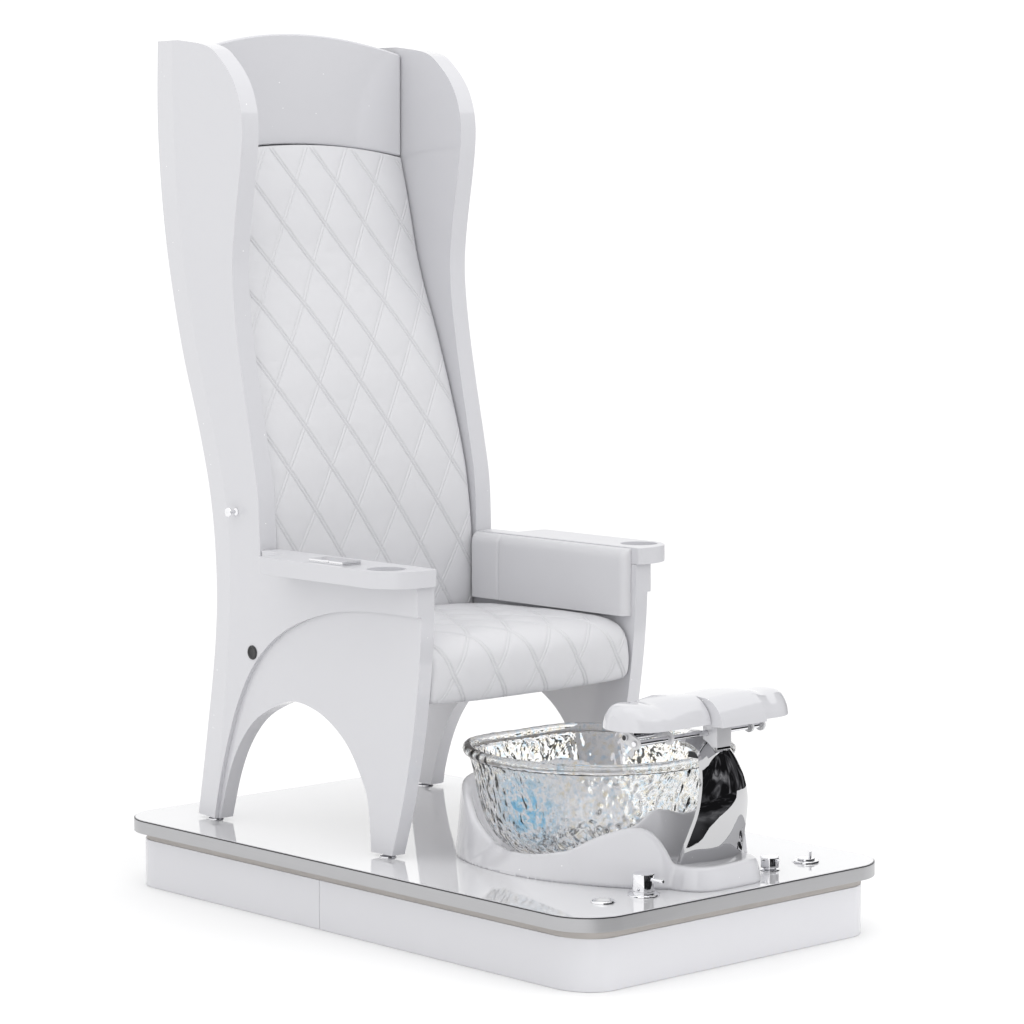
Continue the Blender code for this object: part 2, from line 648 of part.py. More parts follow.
def cradle_section(index):
    """Slice of the cradle wall: up the outside, over the crest, down beside the glass.

    Under the spout the wall closes on the bowl and its outside is a scoop down to the
    tongue; everywhere else there is a channel between the wall and the glass.
    """
    rim, base = BOWL_LOOP[index], CRADLE_LOOP[index]
    low = PLATE_TOP + GAP
    scoop = min(max((0.165 - abs(rim[0])) / 0.060, 0), 1) if rim[1] < -0.50 else 0
    height = interpolate(CRADLE_HEIGHT, rim[1])

    def beside_bowl(z, wide, tight):
        scale = max(interpolate(BOWL_SCALE, z), 0.66)
        clearance = wide + (tight - wide) * scoop
        return (*scaled(rim, scale, clearance), z)

    shoulder = beside_bowl(height - 0.004, 0.034, 0.026)
    foot = (base[0] * 0.99, base[1] + 0.006, TONGUE_TOP + 0.002)
    shoulder = tuple(a + (b - a) * scoop for a, b in zip(shoulder, foot))
    waist = tuple(a + (b - a) * 0.55 for a, b in zip((*base, low), shoulder))
    section = [(*base, low), waist, shoulder, beside_bowl(height - 0.001, 0.030, 0.013),
               beside_bowl(height, 0.026, 0.009), beside_bowl(height - 0.003, 0.022, 0.005)]
    for share in (0.08, 0.22, 0.36, 0.50, 0.66, 0.82, 1.0):
        section.append(beside_bowl(height + (low - height) * share, 0.018, 0.0045))
    return section


def build_cradle():
    cradle = loft("bowl_cradle", [cradle_section(i) for i in range(len(BOWL_LOOP))],
                  "gelcoat", ring=True)
    sections = []
    for inset, z in ((0, PLATE_TOP + GAP), (TONGUE_DRAFT * 0.7, TONGUE_TOP - 0.006),
                     (TONGUE_DRAFT + 0.004, TONGUE_TOP)):
        half = TONGUE_HALF - inset
        r = 0.060 - inset
        loop = rounded_rectangle(-half, half, TONGUE_FRONT + inset, -0.585, (r, r, 0, 0))
        sections.append([(x, y, z) for x, y in loop])
    combine(cradle, loft("cradle_tongue", sections, None, collection=CUTTERS), "UNION")


def build_bowl_fittings():
    floor = BOWL_FLOOR + BOWL_WALL
    lip = floor + GAP
    turned("drain_strainer", [(0.016, lip + 0.003), (0.027, lip + 0.003), (0.031, lip + 0.001),
                              (0.031, lip), (0.0220, lip), (0.0220, 0.112), (0.016, 0.112)],
           "chrome", (0, DRAIN_Y, 0), closed=True)
    turned("drain_stopper", [(0, lip + 0.0070), (0.016, lip + 0.0068), (0.022, lip + 0.0055),
                             (0.022, lip + 0.0036), (0.004, lip + 0.0036), (0.004, 0.140),
                             (0, 0.140)], "chrome", (0, DRAIN_Y, 0))
    trap = [(0, DRAIN_Y, 0.1115), (0, DRAIN_Y, 0.075), (0, DRAIN_Y + 0.010, 0.050),
            (0, DRAIN_Y + 0.035, 0.040), (0, DRAIN_Y + 0.070, 0.040), (0, 0.30, 0.040)]
    curve = bpy.data.curves.new("drain_pipe", "CURVE")
    curve.dimensions = "3D"
    curve.bevel_depth = 0.019
    curve.bevel_resolution = 2
    curve.use_fill_caps = True
    spline = curve.splines.new("POLY")
    spline.points.add(len(trap) - 1)
    for point, position in zip(spline.points, trap):
        point.co = (*position, 1)
    pipe = bpy.data.objects.new("drain_pipe", curve)
    PART.objects.link(pipe)
    curve.materials.append(MATERIALS["white_plastic"])
    turned("jet_motor", [(0, BOWL_FLOOR - GAP), (0.036, BOWL_FLOOR - GAP), (0.036, 0.118),
                         (0.045, 0.116), (0.045, 0.070), (0, 0.070)],
           "black", (0, JET_Y, 0))
    turned("jet_cover", [(0.008, lip + 0.020), (0.022, lip + 0.018), (0.032, lip + 0.010),
                         (0.036, lip), (0.031, lip), (0.028, lip + 0.008),
                         (0.019, lip + 0.0150), (0.008, lip + 0.0165)],
           "white_plastic", (0, JET_Y, 0), closed=True)
    build_impeller(lip)
    turned("bowl_light", [(0, 0.0150), (0.022, 0.0150), (0.026, 0.0120), (0.026, 0), (0, 0)],
           "lens", (-0.075, BOWL_CENTRE_Y, PLATE_TOP + GAP), steps=20)


def build_impeller(lip):
    """Hub disc with radial vanes, clear of the cover all round."""
    hub = turned("jet_impeller", [(0, 0.0120), (0.006, 0.0120), (0.007, 0.0040),
                                  (0.025, 0.0030), (0.025, 0.0005), (0, 0.0005)],
                 "white_plastic", (0, JET_Y, lip), steps=20)
    for k in range(5):
        vane = box("impeller_vane", (-0.0080, -0.0010, -0.0035), (0.0080, 0.0010, 0.0035),
                   None, CUTTERS)
        angle = math.radians(72 * k)
        vane.location = (0.0125 * math.cos(angle), JET_Y + 0.0125 * math.sin(angle),
                         lip + 0.0050)
        vane.rotation_euler[2] = angle
        combine(hub, vane, "UNION")


# ------------------------------------------------------------------ footrest tower
TOWER_PATH = [              # (Y, Z, half width) of the shell's side edge, foot to spout lip
    (-0.650, TONGUE_TOP + GAP, 0.0880), (-0.6595, 0.229, 0.0817), (-0.670, 0.260, 0.0740),
    (-0.681, 0.296, 0.0656), (-0.6855, 0.329, 0.0605), (-0.682, 0.366, 0.0540),
    (-0.670, 0.402, 0.0465), (-0.6585, 0.419, 0.0430), (-0.640, 0.430, 0.0410),
    (-0.619, 0.4355, 0.0400), (-0.600, 0.4355, 0.0400)]
TOWER_SHEET = 0.009
TOWER_CROWN = 0.020
NECK_FRONT, NECK_REAR, NECK_HALF = -0.684, -0.645, 0.020


def build_tower():
    """Chrome waterfall shell with the neck that carries the pads, on a steel post."""
    sections = []
    for i, (y, z, half) in enumerate(TOWER_PATH):
        before, after = TOWER_PATH[max(i - 1, 0)], TOWER_PATH[min(i + 1, len(TOWER_PATH) - 1)]
        along = Vector((after[0] - before[0], after[1] - before[1])).normalized()
        out = Vector((-1, 0)) if i == 0 else Vector((-along.y, along.x))
        outer, inner = [], []
        for k in range(9):
            share = k / 4 - 1
            crown = TOWER_CROWN * (1 - share * share)
            for row, depth in ((outer, crown), (inner, crown - TOWER_SHEET)):
                row.append((share * half, y + out.x * depth, z + out.y * depth))
        sections.append(outer + inner[::-1])
    shell = loft("tower_shell", sections, "chrome")
    neck = box("tower_neck", (-NECK_HALF, NECK_FRONT, 0.424), (NECK_HALF, NECK_REAR, NECK_TOP),
               None, CUTTERS)
    combine(shell, neck, "UNION")
    hole = turned("tower_neck_hole", [(0, 0.06), (0.0064, 0.06), (0.0064, -0.06), (0, -0.06)],
                  None, (0, CROSS_BAR_Y, CROSS_BAR_Z), "X", steps=16, collection=CUTTERS)
    combine(shell, hole, "DIFFERENCE")
    smooth(shell)
    sections = []
    for y, z, half in TOWER_PATH[:7]:
        front, rear = y + 0.0025, y + 0.020
        sections.append([(-0.026, front, z), (0.026, front, z), (0.026, rear, z),
                         (-0.026, rear, z)])
    loft("tower_post", sections, "steel")
    box("water_nozzle", (-0.022, -0.646, 0.4025), (0.022, -0.606, 0.4140), "black")


def link_plate(name, x):
    loop = capsule((PIVOT_Y, PIVOT_Z), (CROSS_BAR_Y, CROSS_BAR_Z), 0.012)
    holes = [circle(PIVOT_Y, PIVOT_Z, 0.0056), circle(CROSS_BAR_Y, CROSS_BAR_Z, 0.0064)]
    return outline_solid(name, [loop, *holes], x - 0.0025, x + 0.0025, "YZ", "white_plastic")


SIDE_PADS = {               # side, link plate centres and pad span, measured out from X = 0
    "right": (-1, (0.125, 0.2175), (0.065, 0.263)),
    "left": (1, (0.104, 0.137), (0.065, 0.201)),
}
CREST_RIGHT = [(0, 0.539), (0.16, 0.5406), (0.31, 0.541), (0.455, 0.537), (0.58, 0.5315),
               (0.70, 0.5345), (0.86, 0.5355), (0.95, 0.529), (1, 0.514)]
CREST_LEFT = [(0, 0.537), (0.20, 0.534), (0.40, 0.5275), (0.57, 0.5275), (0.77, 0.528),
              (0.90, 0.523), (1, 0.511)]
CREST_CENTRE = [(0, 0.5365), (0.25, 0.539), (0.55, 0.541), (0.80, 0.540), (1, 0.5375)]
PAD_PROFILE = [(0, 0), (0.001, 0.12), (0.004, 0.33), (0.0125, 0.58), (0.028, 0.84),
               (0.045, 0.97)]   # (distance in from the edge, share of the height)


def footrest_pad(name, span, front, rear, low, crest, end_radius=0.0):
    """Hard moulded foot pad: crowned ridge along X and, at a free end, a rounded plan."""
    sections = []
    inner, outer = span
    half_depth = (rear - front) / 2
    for share in (0, 0.16, 0.31, 0.455, 0.58, 0.70, 0.80, 0.88, 0.95, 1):
        x = inner + (outer - inner) * share
        reach = half_depth
        if end_radius:
            nose = max(0.0, abs(x) - (abs(outer) - end_radius)) * 0.985
            reach -= end_radius - math.sqrt(end_radius ** 2 - nose ** 2)
        squeeze = reach / half_depth
        middle, rise = (front + rear) / 2, interpolate(crest, share) - low
        near = [(x, middle - reach + inset * squeeze, low + rise * part)
                for inset, part in PAD_PROFILE]
        far = [(x, 2 * middle - y, z) for _, y, z in near[::-1]]
        sections.append(near + [(x, middle, low + rise)] + far)
    return smooth(loft(name, sections, "gelcoat"))


def build_footrest():
    left, right = CROSS_BAR_SPAN
    turned("cross_bar", [(0, right), (0.006, right), (0.006, left), (0, left)],
           "chrome", (0, CROSS_BAR_Y, CROSS_BAR_Z), "X", steps=16)
    footrest_pad("footrest_pad_center", (-0.0635, 0.0635), -0.741, -0.575,
                 CENTRE_PAD_BOTTOM, CREST_CENTRE)
    for word, (side, plates, span) in SIDE_PADS.items():
        inner, outer = side * plates[0], side * plates[1]
        link_plate("link_plate_inner_" + word, inner)
        link_plate("link_plate_outer_" + word, outer)
        clear = 0.0025 + GAP
        shoulder = (plates[1] - plates[0]) / 2 - clear
        tail = (plates[1] - plates[0]) / 2 + clear + 0.005
        bracket = turned("pad_bracket_" + word,
                         [(0, tail), (0.005, tail), (0.005, shoulder), (0.008, shoulder),
                          (0.008, -shoulder), (0.005, -shoulder), (0.005, -tail), (0, -tail)],
                         "chrome", ((inner + outer) / 2, PIVOT_Y, PIVOT_Z), "X", steps=16)
        low, high = sorted((inner, outer))
        saddle = box("pad_saddle_" + word, (low + clear, PIVOT_Y - 0.016, PIVOT_Z + 0.004),
                     (high - clear, PIVOT_Y + 0.016, PAD_BOTTOM - GAP), None, CUTTERS)
        combine(bracket, saddle, "UNION")
        pad = footrest_pad("footrest_pad_" + word, (side * span[0], side * span[1]), -0.711,
                           -0.566, PAD_BOTTOM, CREST_RIGHT if side < 0 else CREST_LEFT,
                           end_radius=0.0725)
        carry(pivot("footrest_%s_axis" % word, (side * span[0], PIVOT_Y, PIVOT_Z)), bracket,
              pad)


# ------------------------------------------------------------------ deck controls
def shank(radius, length=0.070):
    return [(radius, 0), (radius, -length), (0, -length)]


def build_controls():
    deck = PLATE_TOP + GAP
    spot = (TAP_RIGHT_X, TAP_Y, deck)
    turned("tap_body_right", [(0, 0.0090), (0.0225, 0.0090), (0.0225, 0.0045),
                              (0.031, 0.0035), (0.032, 0), *shank(0.012)], "chrome", spot)
    lever = turned("tap_lever_right", [(0, 0.0440), (0.0205, 0.0440), (0.0230, 0.0425),
                                       (0.0230, 0.0093), (0, 0.0093)], "chrome", spot)
    rod = turned("tap_lever_rod", [(0, 0.052), (0.0032, 0.052), (0.0032, 0.010), (0, 0.010)],
                 None, (TAP_RIGHT_X, TAP_Y, deck + 0.034), "-Y", steps=12,
                 collection=CUTTERS)
    combine(lever, rod, "UNION")
    spot = (TAP_LEFT_X, TAP_Y, deck)
    turned("tap_body_left", [(0, 0.0055), (0.013, 0.0055), (0.013, 0.0022), (0.020, 0.0018),
                             (0.020, 0), *shank(0.012)], "chrome", spot)
    handle = turned("tap_handle_left", [(0, 0.0270), (0.0165, 0.0270), (0.0185, 0.0255),
                                        (0.0185, 0.0058), (0, 0.0058)], "chrome", spot)
    for axis in ("X", "-Y"):
        bar = turned("tap_cross_rod", [(0, 0.025), (0.0030, 0.025), (0.0030, -0.025),
                                       (0, -0.025)],
                     None, (TAP_LEFT_X, TAP_Y, deck + 0.0225), axis, steps=12,
                     collection=CUTTERS)
        combine(handle, bar, "UNION")
    spot = (BUTTON_X, SMALL_CONTROL_Y, deck)
    turned("air_button_ring", [(0.0145, 0.0040), (0.0180, 0.0050), (0.0225, 0.0040),
                               (0.0240, 0.0015), (0.0240, 0), (0.0200, 0),
                               (0.0200, -0.0350), (0.0145, -0.0350)],
           "chrome", spot, closed=True)
    turned("air_button", [(0, 0.0062), (0.0100, 0.0062), (0.0140, 0.0050),
                          (0.0140, -0.0080), (0, -0.0080)], "white_plastic", spot)
    spot = (KNOB_X, SMALL_CONTROL_Y, deck)
    turned("drain_knob_base", [(0, 0.0040), (0.0240, 0.0040), (0.0270, 0.0020), (0.0270, 0),
                               *shank(0.010, 0.060)], "chrome", spot)
    knob = turned("drain_knob", [(0, 0.0085), (0.0165, 0.0085), (0.0185, 0.0070),
                                 (0.0185, 0.0043), (0, 0.0043)], "chrome", spot)
    pin = turned("drain_knob_pin", [(0, 0.020), (0.0028, 0.020), (0.0028, 0.005), (0, 0.005)],
                 None, (KNOB_X + 0.013, SMALL_CONTROL_Y, deck), steps=12, collection=CUTTERS)
    combine(knob, pin, "UNION")


build_platform()
build_shell()
build_upholstery()
build_arms()
build_hardware()
build_bowl()
build_cradle()
build_bowl_fittings()
build_tower()
build_footrest()
build_controls()
bpy.context.view_layer.update()
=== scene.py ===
"""Pedicure spa chair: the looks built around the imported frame.

Frame: metres, +Z up, the sitter faces -Y, the sitter's right hand side is -X.
"""
import json
import math

import bmesh
import bpy
import numpy as np
from mathutils import Matrix, Vector, noise


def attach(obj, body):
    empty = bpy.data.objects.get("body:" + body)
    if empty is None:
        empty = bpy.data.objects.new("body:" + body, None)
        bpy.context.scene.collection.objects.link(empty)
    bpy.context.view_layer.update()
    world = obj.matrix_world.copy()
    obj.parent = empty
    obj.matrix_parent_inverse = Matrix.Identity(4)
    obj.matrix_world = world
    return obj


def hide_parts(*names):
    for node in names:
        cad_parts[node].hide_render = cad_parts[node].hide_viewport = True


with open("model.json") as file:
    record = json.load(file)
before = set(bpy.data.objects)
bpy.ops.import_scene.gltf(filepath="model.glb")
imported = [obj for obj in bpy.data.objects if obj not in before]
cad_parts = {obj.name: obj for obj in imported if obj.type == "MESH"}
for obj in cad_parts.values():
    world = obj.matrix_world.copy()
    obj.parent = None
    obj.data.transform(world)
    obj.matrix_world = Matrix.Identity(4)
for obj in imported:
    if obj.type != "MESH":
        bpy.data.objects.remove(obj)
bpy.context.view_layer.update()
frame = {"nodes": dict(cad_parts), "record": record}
ROOT = "chair_and_platform"
SCENE = bpy.context.scene
SIDES = ((-1, "right"), (1, "left"))   # sign of X and the sitter's side
GAP = 0.0003                            # clearance between pieces that touch



def new_object(name, data):
    obj = bpy.data.objects.new(name, data)
    SCENE.collection.objects.link(obj)
    return obj


# ------------------------------------------------------------------ camera and studio
def build_camera():
    data = bpy.data.cameras.new("camera")
    data.sensor_width = 36.0
    data.lens = 120.96
    data.clip_end = 100.0
    camera = new_object("camera", data)
    forward = Vector((0.67494, 0.73142, -0.09732)).normalized()
    right = forward.cross(Vector((0, 0, 1))).normalized()
    up = right.cross(forward)
    turn = Matrix((right, up, -forward)).transposed().to_4x4()
    camera.matrix_world = Matrix.Translation((-4.892, -5.364, 1.5594)) @ turn
    SCENE.camera = camera


def area_light(name, place, target, size, power):
    data = bpy.data.lights.new(name, "AREA")
    data.shape = "RECTANGLE"
    data.size, data.size_y = size
    data.energy = power
    light = new_object(name, data)
    light.location = place
    aim = Vector(target) - Vector(place)
    light.rotation_euler = aim.to_track_quat("-Z", "Y").to_euler()
    return light


def flag(name, corners, material, glossy=True):
    """A studio wall of cards that only shows in reflections or through glass."""
    mesh = bpy.data.meshes.new(name)
    half = len(corners) // 2
    mesh.from_pydata(corners, [], [(k, k + 1, half + k + 1, half + k)
                                   for k in range(half - 1)])
    card = new_object(name, mesh)
    mesh.materials.append(material)
    card.visible_camera = card.visible_diffuse = card.visible_shadow = False
    card.visible_glossy = glossy


def upright(points, low, high):
    return [(x, y, low) for x, y in points] + [(x, y, high) for x, y in points]


def node(tree, kind, **inputs):
    """Add a shader node and set its inputs, a space in a name written as an underscore."""
    made = tree.nodes.new("ShaderNode" + kind)
    for name, value in inputs.items():
        made.inputs[name.replace("_", " ")].default_value = value
    return made


def operate(tree, kind, *operations):
    """Math nodes of one kind, one for each operation."""
    made = [node(tree, kind) for _ in operations]
    for each, operation in zip(made, operations):
        each.operation = operation
    return made


def blend(tree, color):
    """Colour mix towards a fixed second colour."""
    mix = node(tree, "Mix")
    mix.data_type = "RGBA"
    mix.inputs[MIX_B].default_value = color
    return mix


def join(tree, *pairs):
    """Link (node, output name) to (node, input name or number) for each pair."""
    for (source, out), (target, into) in pairs:
        tree.links.new(source.outputs[out], target.inputs[into])


def fill_ramp(ramp, stops):
    """Colour stops (position, colour) in rising order."""
    elements = ramp.color_ramp.elements
    elements[0].position, elements[0].color = stops[0]
    elements[1].position, elements[1].color = stops[-1]
    for position, color in stops[1:-1]:
        elements.new(position).color = color


def glow_card(name, scale, detail, distortion, stretch, stops):
    """Emissive card patterned by a noise."""
    material = bpy.data.materials.new(name)
    material.use_nodes = True
    tree = material.node_tree
    tree.nodes.clear()
    place = node(tree, "TexCoord")
    spread_out = node(tree, "Mapping", Scale=stretch)
    noise_map = node(tree, "TexNoise", Scale=scale, Detail=detail, Distortion=distortion)
    ramp, glow = node(tree, "ValToRGB"), node(tree, "Emission")
    fill_ramp(ramp, stops)
    join(tree, ((place, "Object"), (spread_out, "Vector")),
         ((spread_out, "Vector"), (noise_map, "Vector")),
         ((noise_map, "Fac"), (ramp, "Fac")), ((ramp, "Color"), (glow, "Color")),
         ((glow, "Emission"), (node(tree, "OutputMaterial"), "Surface")))
    return material


def dark_card():
    """Near-black with soft upright grey streaks, as a studio's depth reflects."""
    return glow_card("dark_card", 1.7, 5.0, 1.4, (0.45, 0.45, 0.40), [
        (0.50, (0.012, 0.012, 0.013, 1)), (0.60, (0.07, 0.07, 0.075, 1)),
        (0.74, (0.34, 0.34, 0.35, 1))])


def broken_light():
    """Patchy glow, grey to white with a little gold, that only the hammered glass shows."""
    return glow_card("broken_light", 5.5, 3.0, 1.2, (1, 1, 1), [
        (0.40, (0.05, 0.05, 0.05, 1)), (0.44, (0.45, 0.40, 0.30, 1)),
        (0.475, (0.85, 0.84, 0.78, 1)), (0.53, (1.15, 1.15, 1.15, 1))])


def build_studio():
    world = bpy.data.worlds.new("studio")
    world.use_nodes = True
    background = world.node_tree.nodes["Background"]
    background.inputs["Color"].default_value = (1.0, 1.0, 1.0, 1.0)
    background.inputs["Strength"].default_value = 1.12
    SCENE.world = world
    SCENE.view_settings.view_transform = "Standard"
    SCENE.view_settings.look = "None"
    floor = bpy.data.meshes.new("floor")
    far, level = 60, -0.0005
    floor.from_pydata([(-far, -far, level), (far, -far, level), (far, far, level),
                       (-far, far, level)], [], [(0, 1, 2, 3)])
    plane = new_object("floor", floor)
    floor.materials.append(surface("floor_paper", (0.95, 0.95, 0.95), 0.85, vary=0.005))
    black = dark_card()
    flag("flag_front", upright([(-2.6, -3.2), (-1.2, -4.0), (2.4, -3.0), (3.4, -1.2),
                                (3.4, 0.8)], 0.0, 3.0), black)
    edge = [(-0.45, -1.00), (0.0, -0.98), (0.21, -1.16), (1.5, -1.50), (2.9, -2.10)]
    beyond = [(-2.6, -3.2), (-1.2, -4.0), (0.3, -3.6), (2.4, -3.0), (2.9, -2.11)]
    flag("flag_floor", [(x, y, 0.001) for x, y in edge + beyond], black)
    around = [(1.6 * math.cos(math.pi * k / 16), 1.6 * math.sin(math.pi * k / 16))
              for k in range(33)]
    flag("glass_surround", upright(around, 0.0, 2.6), broken_light(), glossy=False)
    area_light("light_top", (-0.6, -0.8, 4.2), (0, 0, 0.4), (3.6, 3.6), 26)
    area_light("light_key", (1.6, -4.0, 3.2), (0, -0.1, 0.8), (2.0, 2.0), 7)
    low = area_light("light_low", (0.1, -2.2, 0.08), (0.1, -0.75, 0.06), (1.5, 0.12), 0.20)
    low.data.spread = math.radians(26)
    low.visible_glossy = False


# ------------------------------------------------------------------ materials
MIX_A, MIX_B, MIX_RESULT = 6, 7, 2     # colour sockets of a Mix node


def surface(name, color, roughness, metallic=0.0, vary=0.02, grain=None, bump=0.0,
            coat=0.0, stretch=(1, 1, 1), transmission=0.0, fleck=0.0):
    """Principled finish whose colour, roughness and relief come from object-space noise."""
    material = bpy.data.materials.new(name)
    material.use_nodes = True
    tree = material.node_tree
    shader = tree.nodes["Principled BSDF"]
    for socket, value in (("Metallic", metallic), ("Coat Weight", coat),
                          ("Coat Roughness", 0.03), ("Transmission Weight", transmission)):
        shader.inputs[socket].default_value = value
    place, mapping = node(tree, "TexCoord"), node(tree, "Mapping", Scale=stretch)
    clouds = node(tree, "TexNoise", Scale=9.0 if stretch == (1, 1, 1) else 1.0, Detail=5.0)
    tint = node(tree, "MapRange", To_Min=1 - vary, To_Max=1 + vary)
    shade, = operate(tree, "VectorMath", "SCALE")
    shade.inputs[0].default_value = color
    gloss = node(tree, "MapRange", To_Min=roughness * 0.93, To_Max=roughness * 1.08)
    join(tree, ((place, "Object"), (mapping, "Vector")),
         ((mapping, "Vector"), (clouds, "Vector")), ((clouds, "Fac"), (tint, "Value")),
         ((tint, "Result"), (shade, "Scale")), ((clouds, "Fac"), (gloss, "Value")),
         ((gloss, "Result"), (shader, "Roughness")))
    base = (shade, "Vector")
    if fleck:
        base = glinting(tree, place, base, fleck)
    join(tree, (base, (shader, "Base Color")))
    if grain:
        pattern, scale, depth = grain
        cells = pattern == "cells"
        fine = node(tree, "TexVoronoi" if cells else "TexNoise", Scale=scale)
        relief = node(tree, "Bump", Strength=bump, Distance=depth)
        join(tree, ((mapping, "Vector"), (fine, "Vector")),
             ((fine, "Distance" if cells else "Fac"), (relief, "Height")),
             ((relief, "Normal"), (shader, "Normal")))
    return material


def glinting(tree, place, base, share):
    """Scatter fine white flecks over a share of small cells, as in the flaked gelcoat."""
    spots = node(tree, "TexVoronoi", Scale=95.0)
    split = node(tree, "SeparateColor")
    near, rare, both = operate(tree, "Math", "LESS_THAN", "GREATER_THAN", "MULTIPLY")
    near.inputs[1].default_value, rare.inputs[1].default_value = 0.11, 1 - share
    glint = blend(tree, (1.0, 1.0, 1.0, 1.0))
    join(tree, ((place, "Object"), (spots, "Vector")),
         ((spots, "Distance"), (near, 0)), ((spots, "Color"), (split, "Color")),
         ((split, "Red"), (rare, 0)), ((near, "Value"), (both, 0)),
         ((rare, "Value"), (both, 1)), ((both, "Value"), (glint, 0)),
         (base, (glint, MIX_A)))
    return glint, MIX_RESULT


def tinted_glass(name):
    """Clear glass, faintly blue and amber in places, with a painted blue glow of the lit jet's
    light beside the jet.
    """
    material = surface(name, (0.98, 0.99, 1.0), 0.02, transmission=1.0)
    tree = material.node_tree
    shader, place = tree.nodes["Principled BSDF"], tree.nodes["Texture Coordinate"]
    shader.inputs["IOR"].default_value = 1.5
    patches = node(tree, "TexNoise", Scale=70.0, Detail=2.0)
    ramp = node(tree, "ValToRGB")
    fill_ramp(ramp, [(0.32, (0.66, 0.84, 1.0, 1)), (0.42, (1.0, 1.0, 1.0, 1)),
                     (0.58, (1.0, 1.0, 1.0, 1)), (0.70, (0.96, 0.86, 0.66, 1))])
    # Painted light: the glass colour turns blue within about 105 mm of this point, fullest within
    # 40 mm, a painted glow of the lit jet.
    near, = operate(tree, "VectorMath", "DISTANCE")
    near.inputs[1].default_value = (-0.26, -0.37, 0.285)
    jet_glow_reach = node(tree, "MapRange", From_Min=0.105, From_Max=0.040)
    spots = node(tree, "MapRange", From_Min=0.49, From_Max=0.56)
    both, = operate(tree, "Math", "MULTIPLY")
    # Colour of the painted glow of the lit jet, mixed over the glass tint.
    painted_jet_glow = blend(tree, (0.24, 0.66, 1.0, 1.0))
    join(tree, ((place, "Object"), (patches, "Vector")), ((patches, "Fac"), (ramp, "Fac")),
         ((place, "Object"), (near, 0)), ((near, "Value"), (jet_glow_reach, "Value")),
         ((patches, "Fac"), (spots, "Value")), ((jet_glow_reach, "Result"), (both, 0)),
         ((spots, "Result"), (both, 1)), ((both, "Value"), (painted_jet_glow, 0)),
         ((ramp, "Color"), (painted_jet_glow, MIX_A)), ((painted_jet_glow, MIX_RESULT), (shader, "Base Color")))
    return material


FINISHES = (    # name, colour, roughness, metallic, variation, grain, bump, other settings
    ("gelcoat", (0.612, 0.612, 0.637), 0.10, 0.0, 0.004, ("noise", 55, 0.0005), 0.04,
     {"coat": 0.5, "fleck": 0.05}),
    ("deck", (0.72, 0.72, 0.74), 0.05, 0.0, 0.004, ("noise", 30, 0.0004), 0.03,
     {"coat": 0.8}),
    ("cabinet", (0.64, 0.64, 0.665), 0.24, 0.0, 0.003, ("noise", 240, 0.0003), 0.03, {}),
    ("leather", (0.63, 0.63, 0.65), 0.42, 0.0, 0.008, ("cells", 620, 0.0006), 0.12, {}),
    ("chrome", (0.86, 0.86, 0.88), 0.035, 1.0, 0.01, ("noise", 60, 0.0003), 0.02, {}),
    ("gelcoat_tray", (0.605, 0.605, 0.63), 0.34, 0.0, 0.004, ("noise", 55, 0.0005), 0.04,
     {"coat": 0.08}),
    ("neck_chrome", (0.66, 0.66, 0.68), 0.24, 0.35, 0.03, ("noise", 90, 0.0003), 0.04, {}),
    ("chrome_shell", (0.57, 0.57, 0.58), 0.03, 1.0, 0.01, ("noise", 60, 0.0003), 0.02, {}),
    ("brushed", (0.44, 0.44, 0.45), 0.33, 0.4, 0.06, ("noise", 1, 0.0004), 0.08,
     {"stretch": (3, 3, 1400)}),
    ("steel", (0.42, 0.42, 0.43), 0.40, 1.0, 0.08, ("noise", 180, 0.0004), 0.10, {}),
    ("board", (0.41, 0.385, 0.365), 0.60, 0.0, 0.15, ("noise", 1, 0.0006), 0.2,
     {"stretch": (30, 8, 120)}),
    ("black", (0.025, 0.025, 0.027), 0.38, 0.0, 0.10, ("noise", 300, 0.0003), 0.10, {}),
    ("white_plastic", (0.66, 0.66, 0.67), 0.22, 0.0, 0.01, ("noise", 200, 0.0003), 0.05, {}),
    ("rubber", (0.05, 0.05, 0.05), 0.65, 0.0, 0.1, ("noise", 220, 0.0004), 0.15, {}),
    ("lens", (0.45, 0.70, 0.95), 0.15, 0.0, 0.03, ("cells", 160, 0.0006), 0.2,
     {"coat": 0.6}),
)
MATERIALS = {}


def build_materials():
    for *settings, extra in FINISHES:
        MATERIALS[settings[0]] = surface(*settings, **extra)
    MATERIALS["glass"] = tinted_glass("glass")


# ------------------------------------------------------------------ mesh helpers
PLANES = {                  # local X, Y and thickness axes of a flat outline
    "XY": Matrix(((1, 0, 0, 0), (0, 1, 0, 0), (0, 0, 1, 0), (0, 0, 0, 1))),
    "YZ": Matrix(((0, 0, 1, 0), (1, 0, 0, 0), (0, 1, 0, 0), (0, 0, 0, 1))),
}
AXES = {"Z": Matrix.Identity(3), "X": Matrix(((0, 0, 1), (0, 1, 0), (-1, 0, 0))),
        "-X": Matrix(((0, 0, -1), (0, 1, 0), (1, 0, 0))),
        "-Y": Matrix(((1, 0, 0), (0, 0, -1), (0, 1, 0)))}


def from_bmesh(name, bm):
    bmesh.ops.recalc_face_normals(bm, faces=bm.faces)
    mesh = bpy.data.meshes.new(name)
    bm.to_mesh(mesh)
    bm.free()
    return new_object(name, mesh)


def to_bmesh(mesh):
    """Move a mesh into a bmesh, for from_bmesh to finish."""
    bm = bmesh.new()
    bm.from_mesh(mesh)
    bpy.data.meshes.remove(mesh)
    return bm


def evaluated_mesh(obj):
    bpy.context.view_layer.update()
    graph = bpy.context.evaluated_depsgraph_get()
    return bpy.data.meshes.new_from_object(obj.evaluated_get(graph))


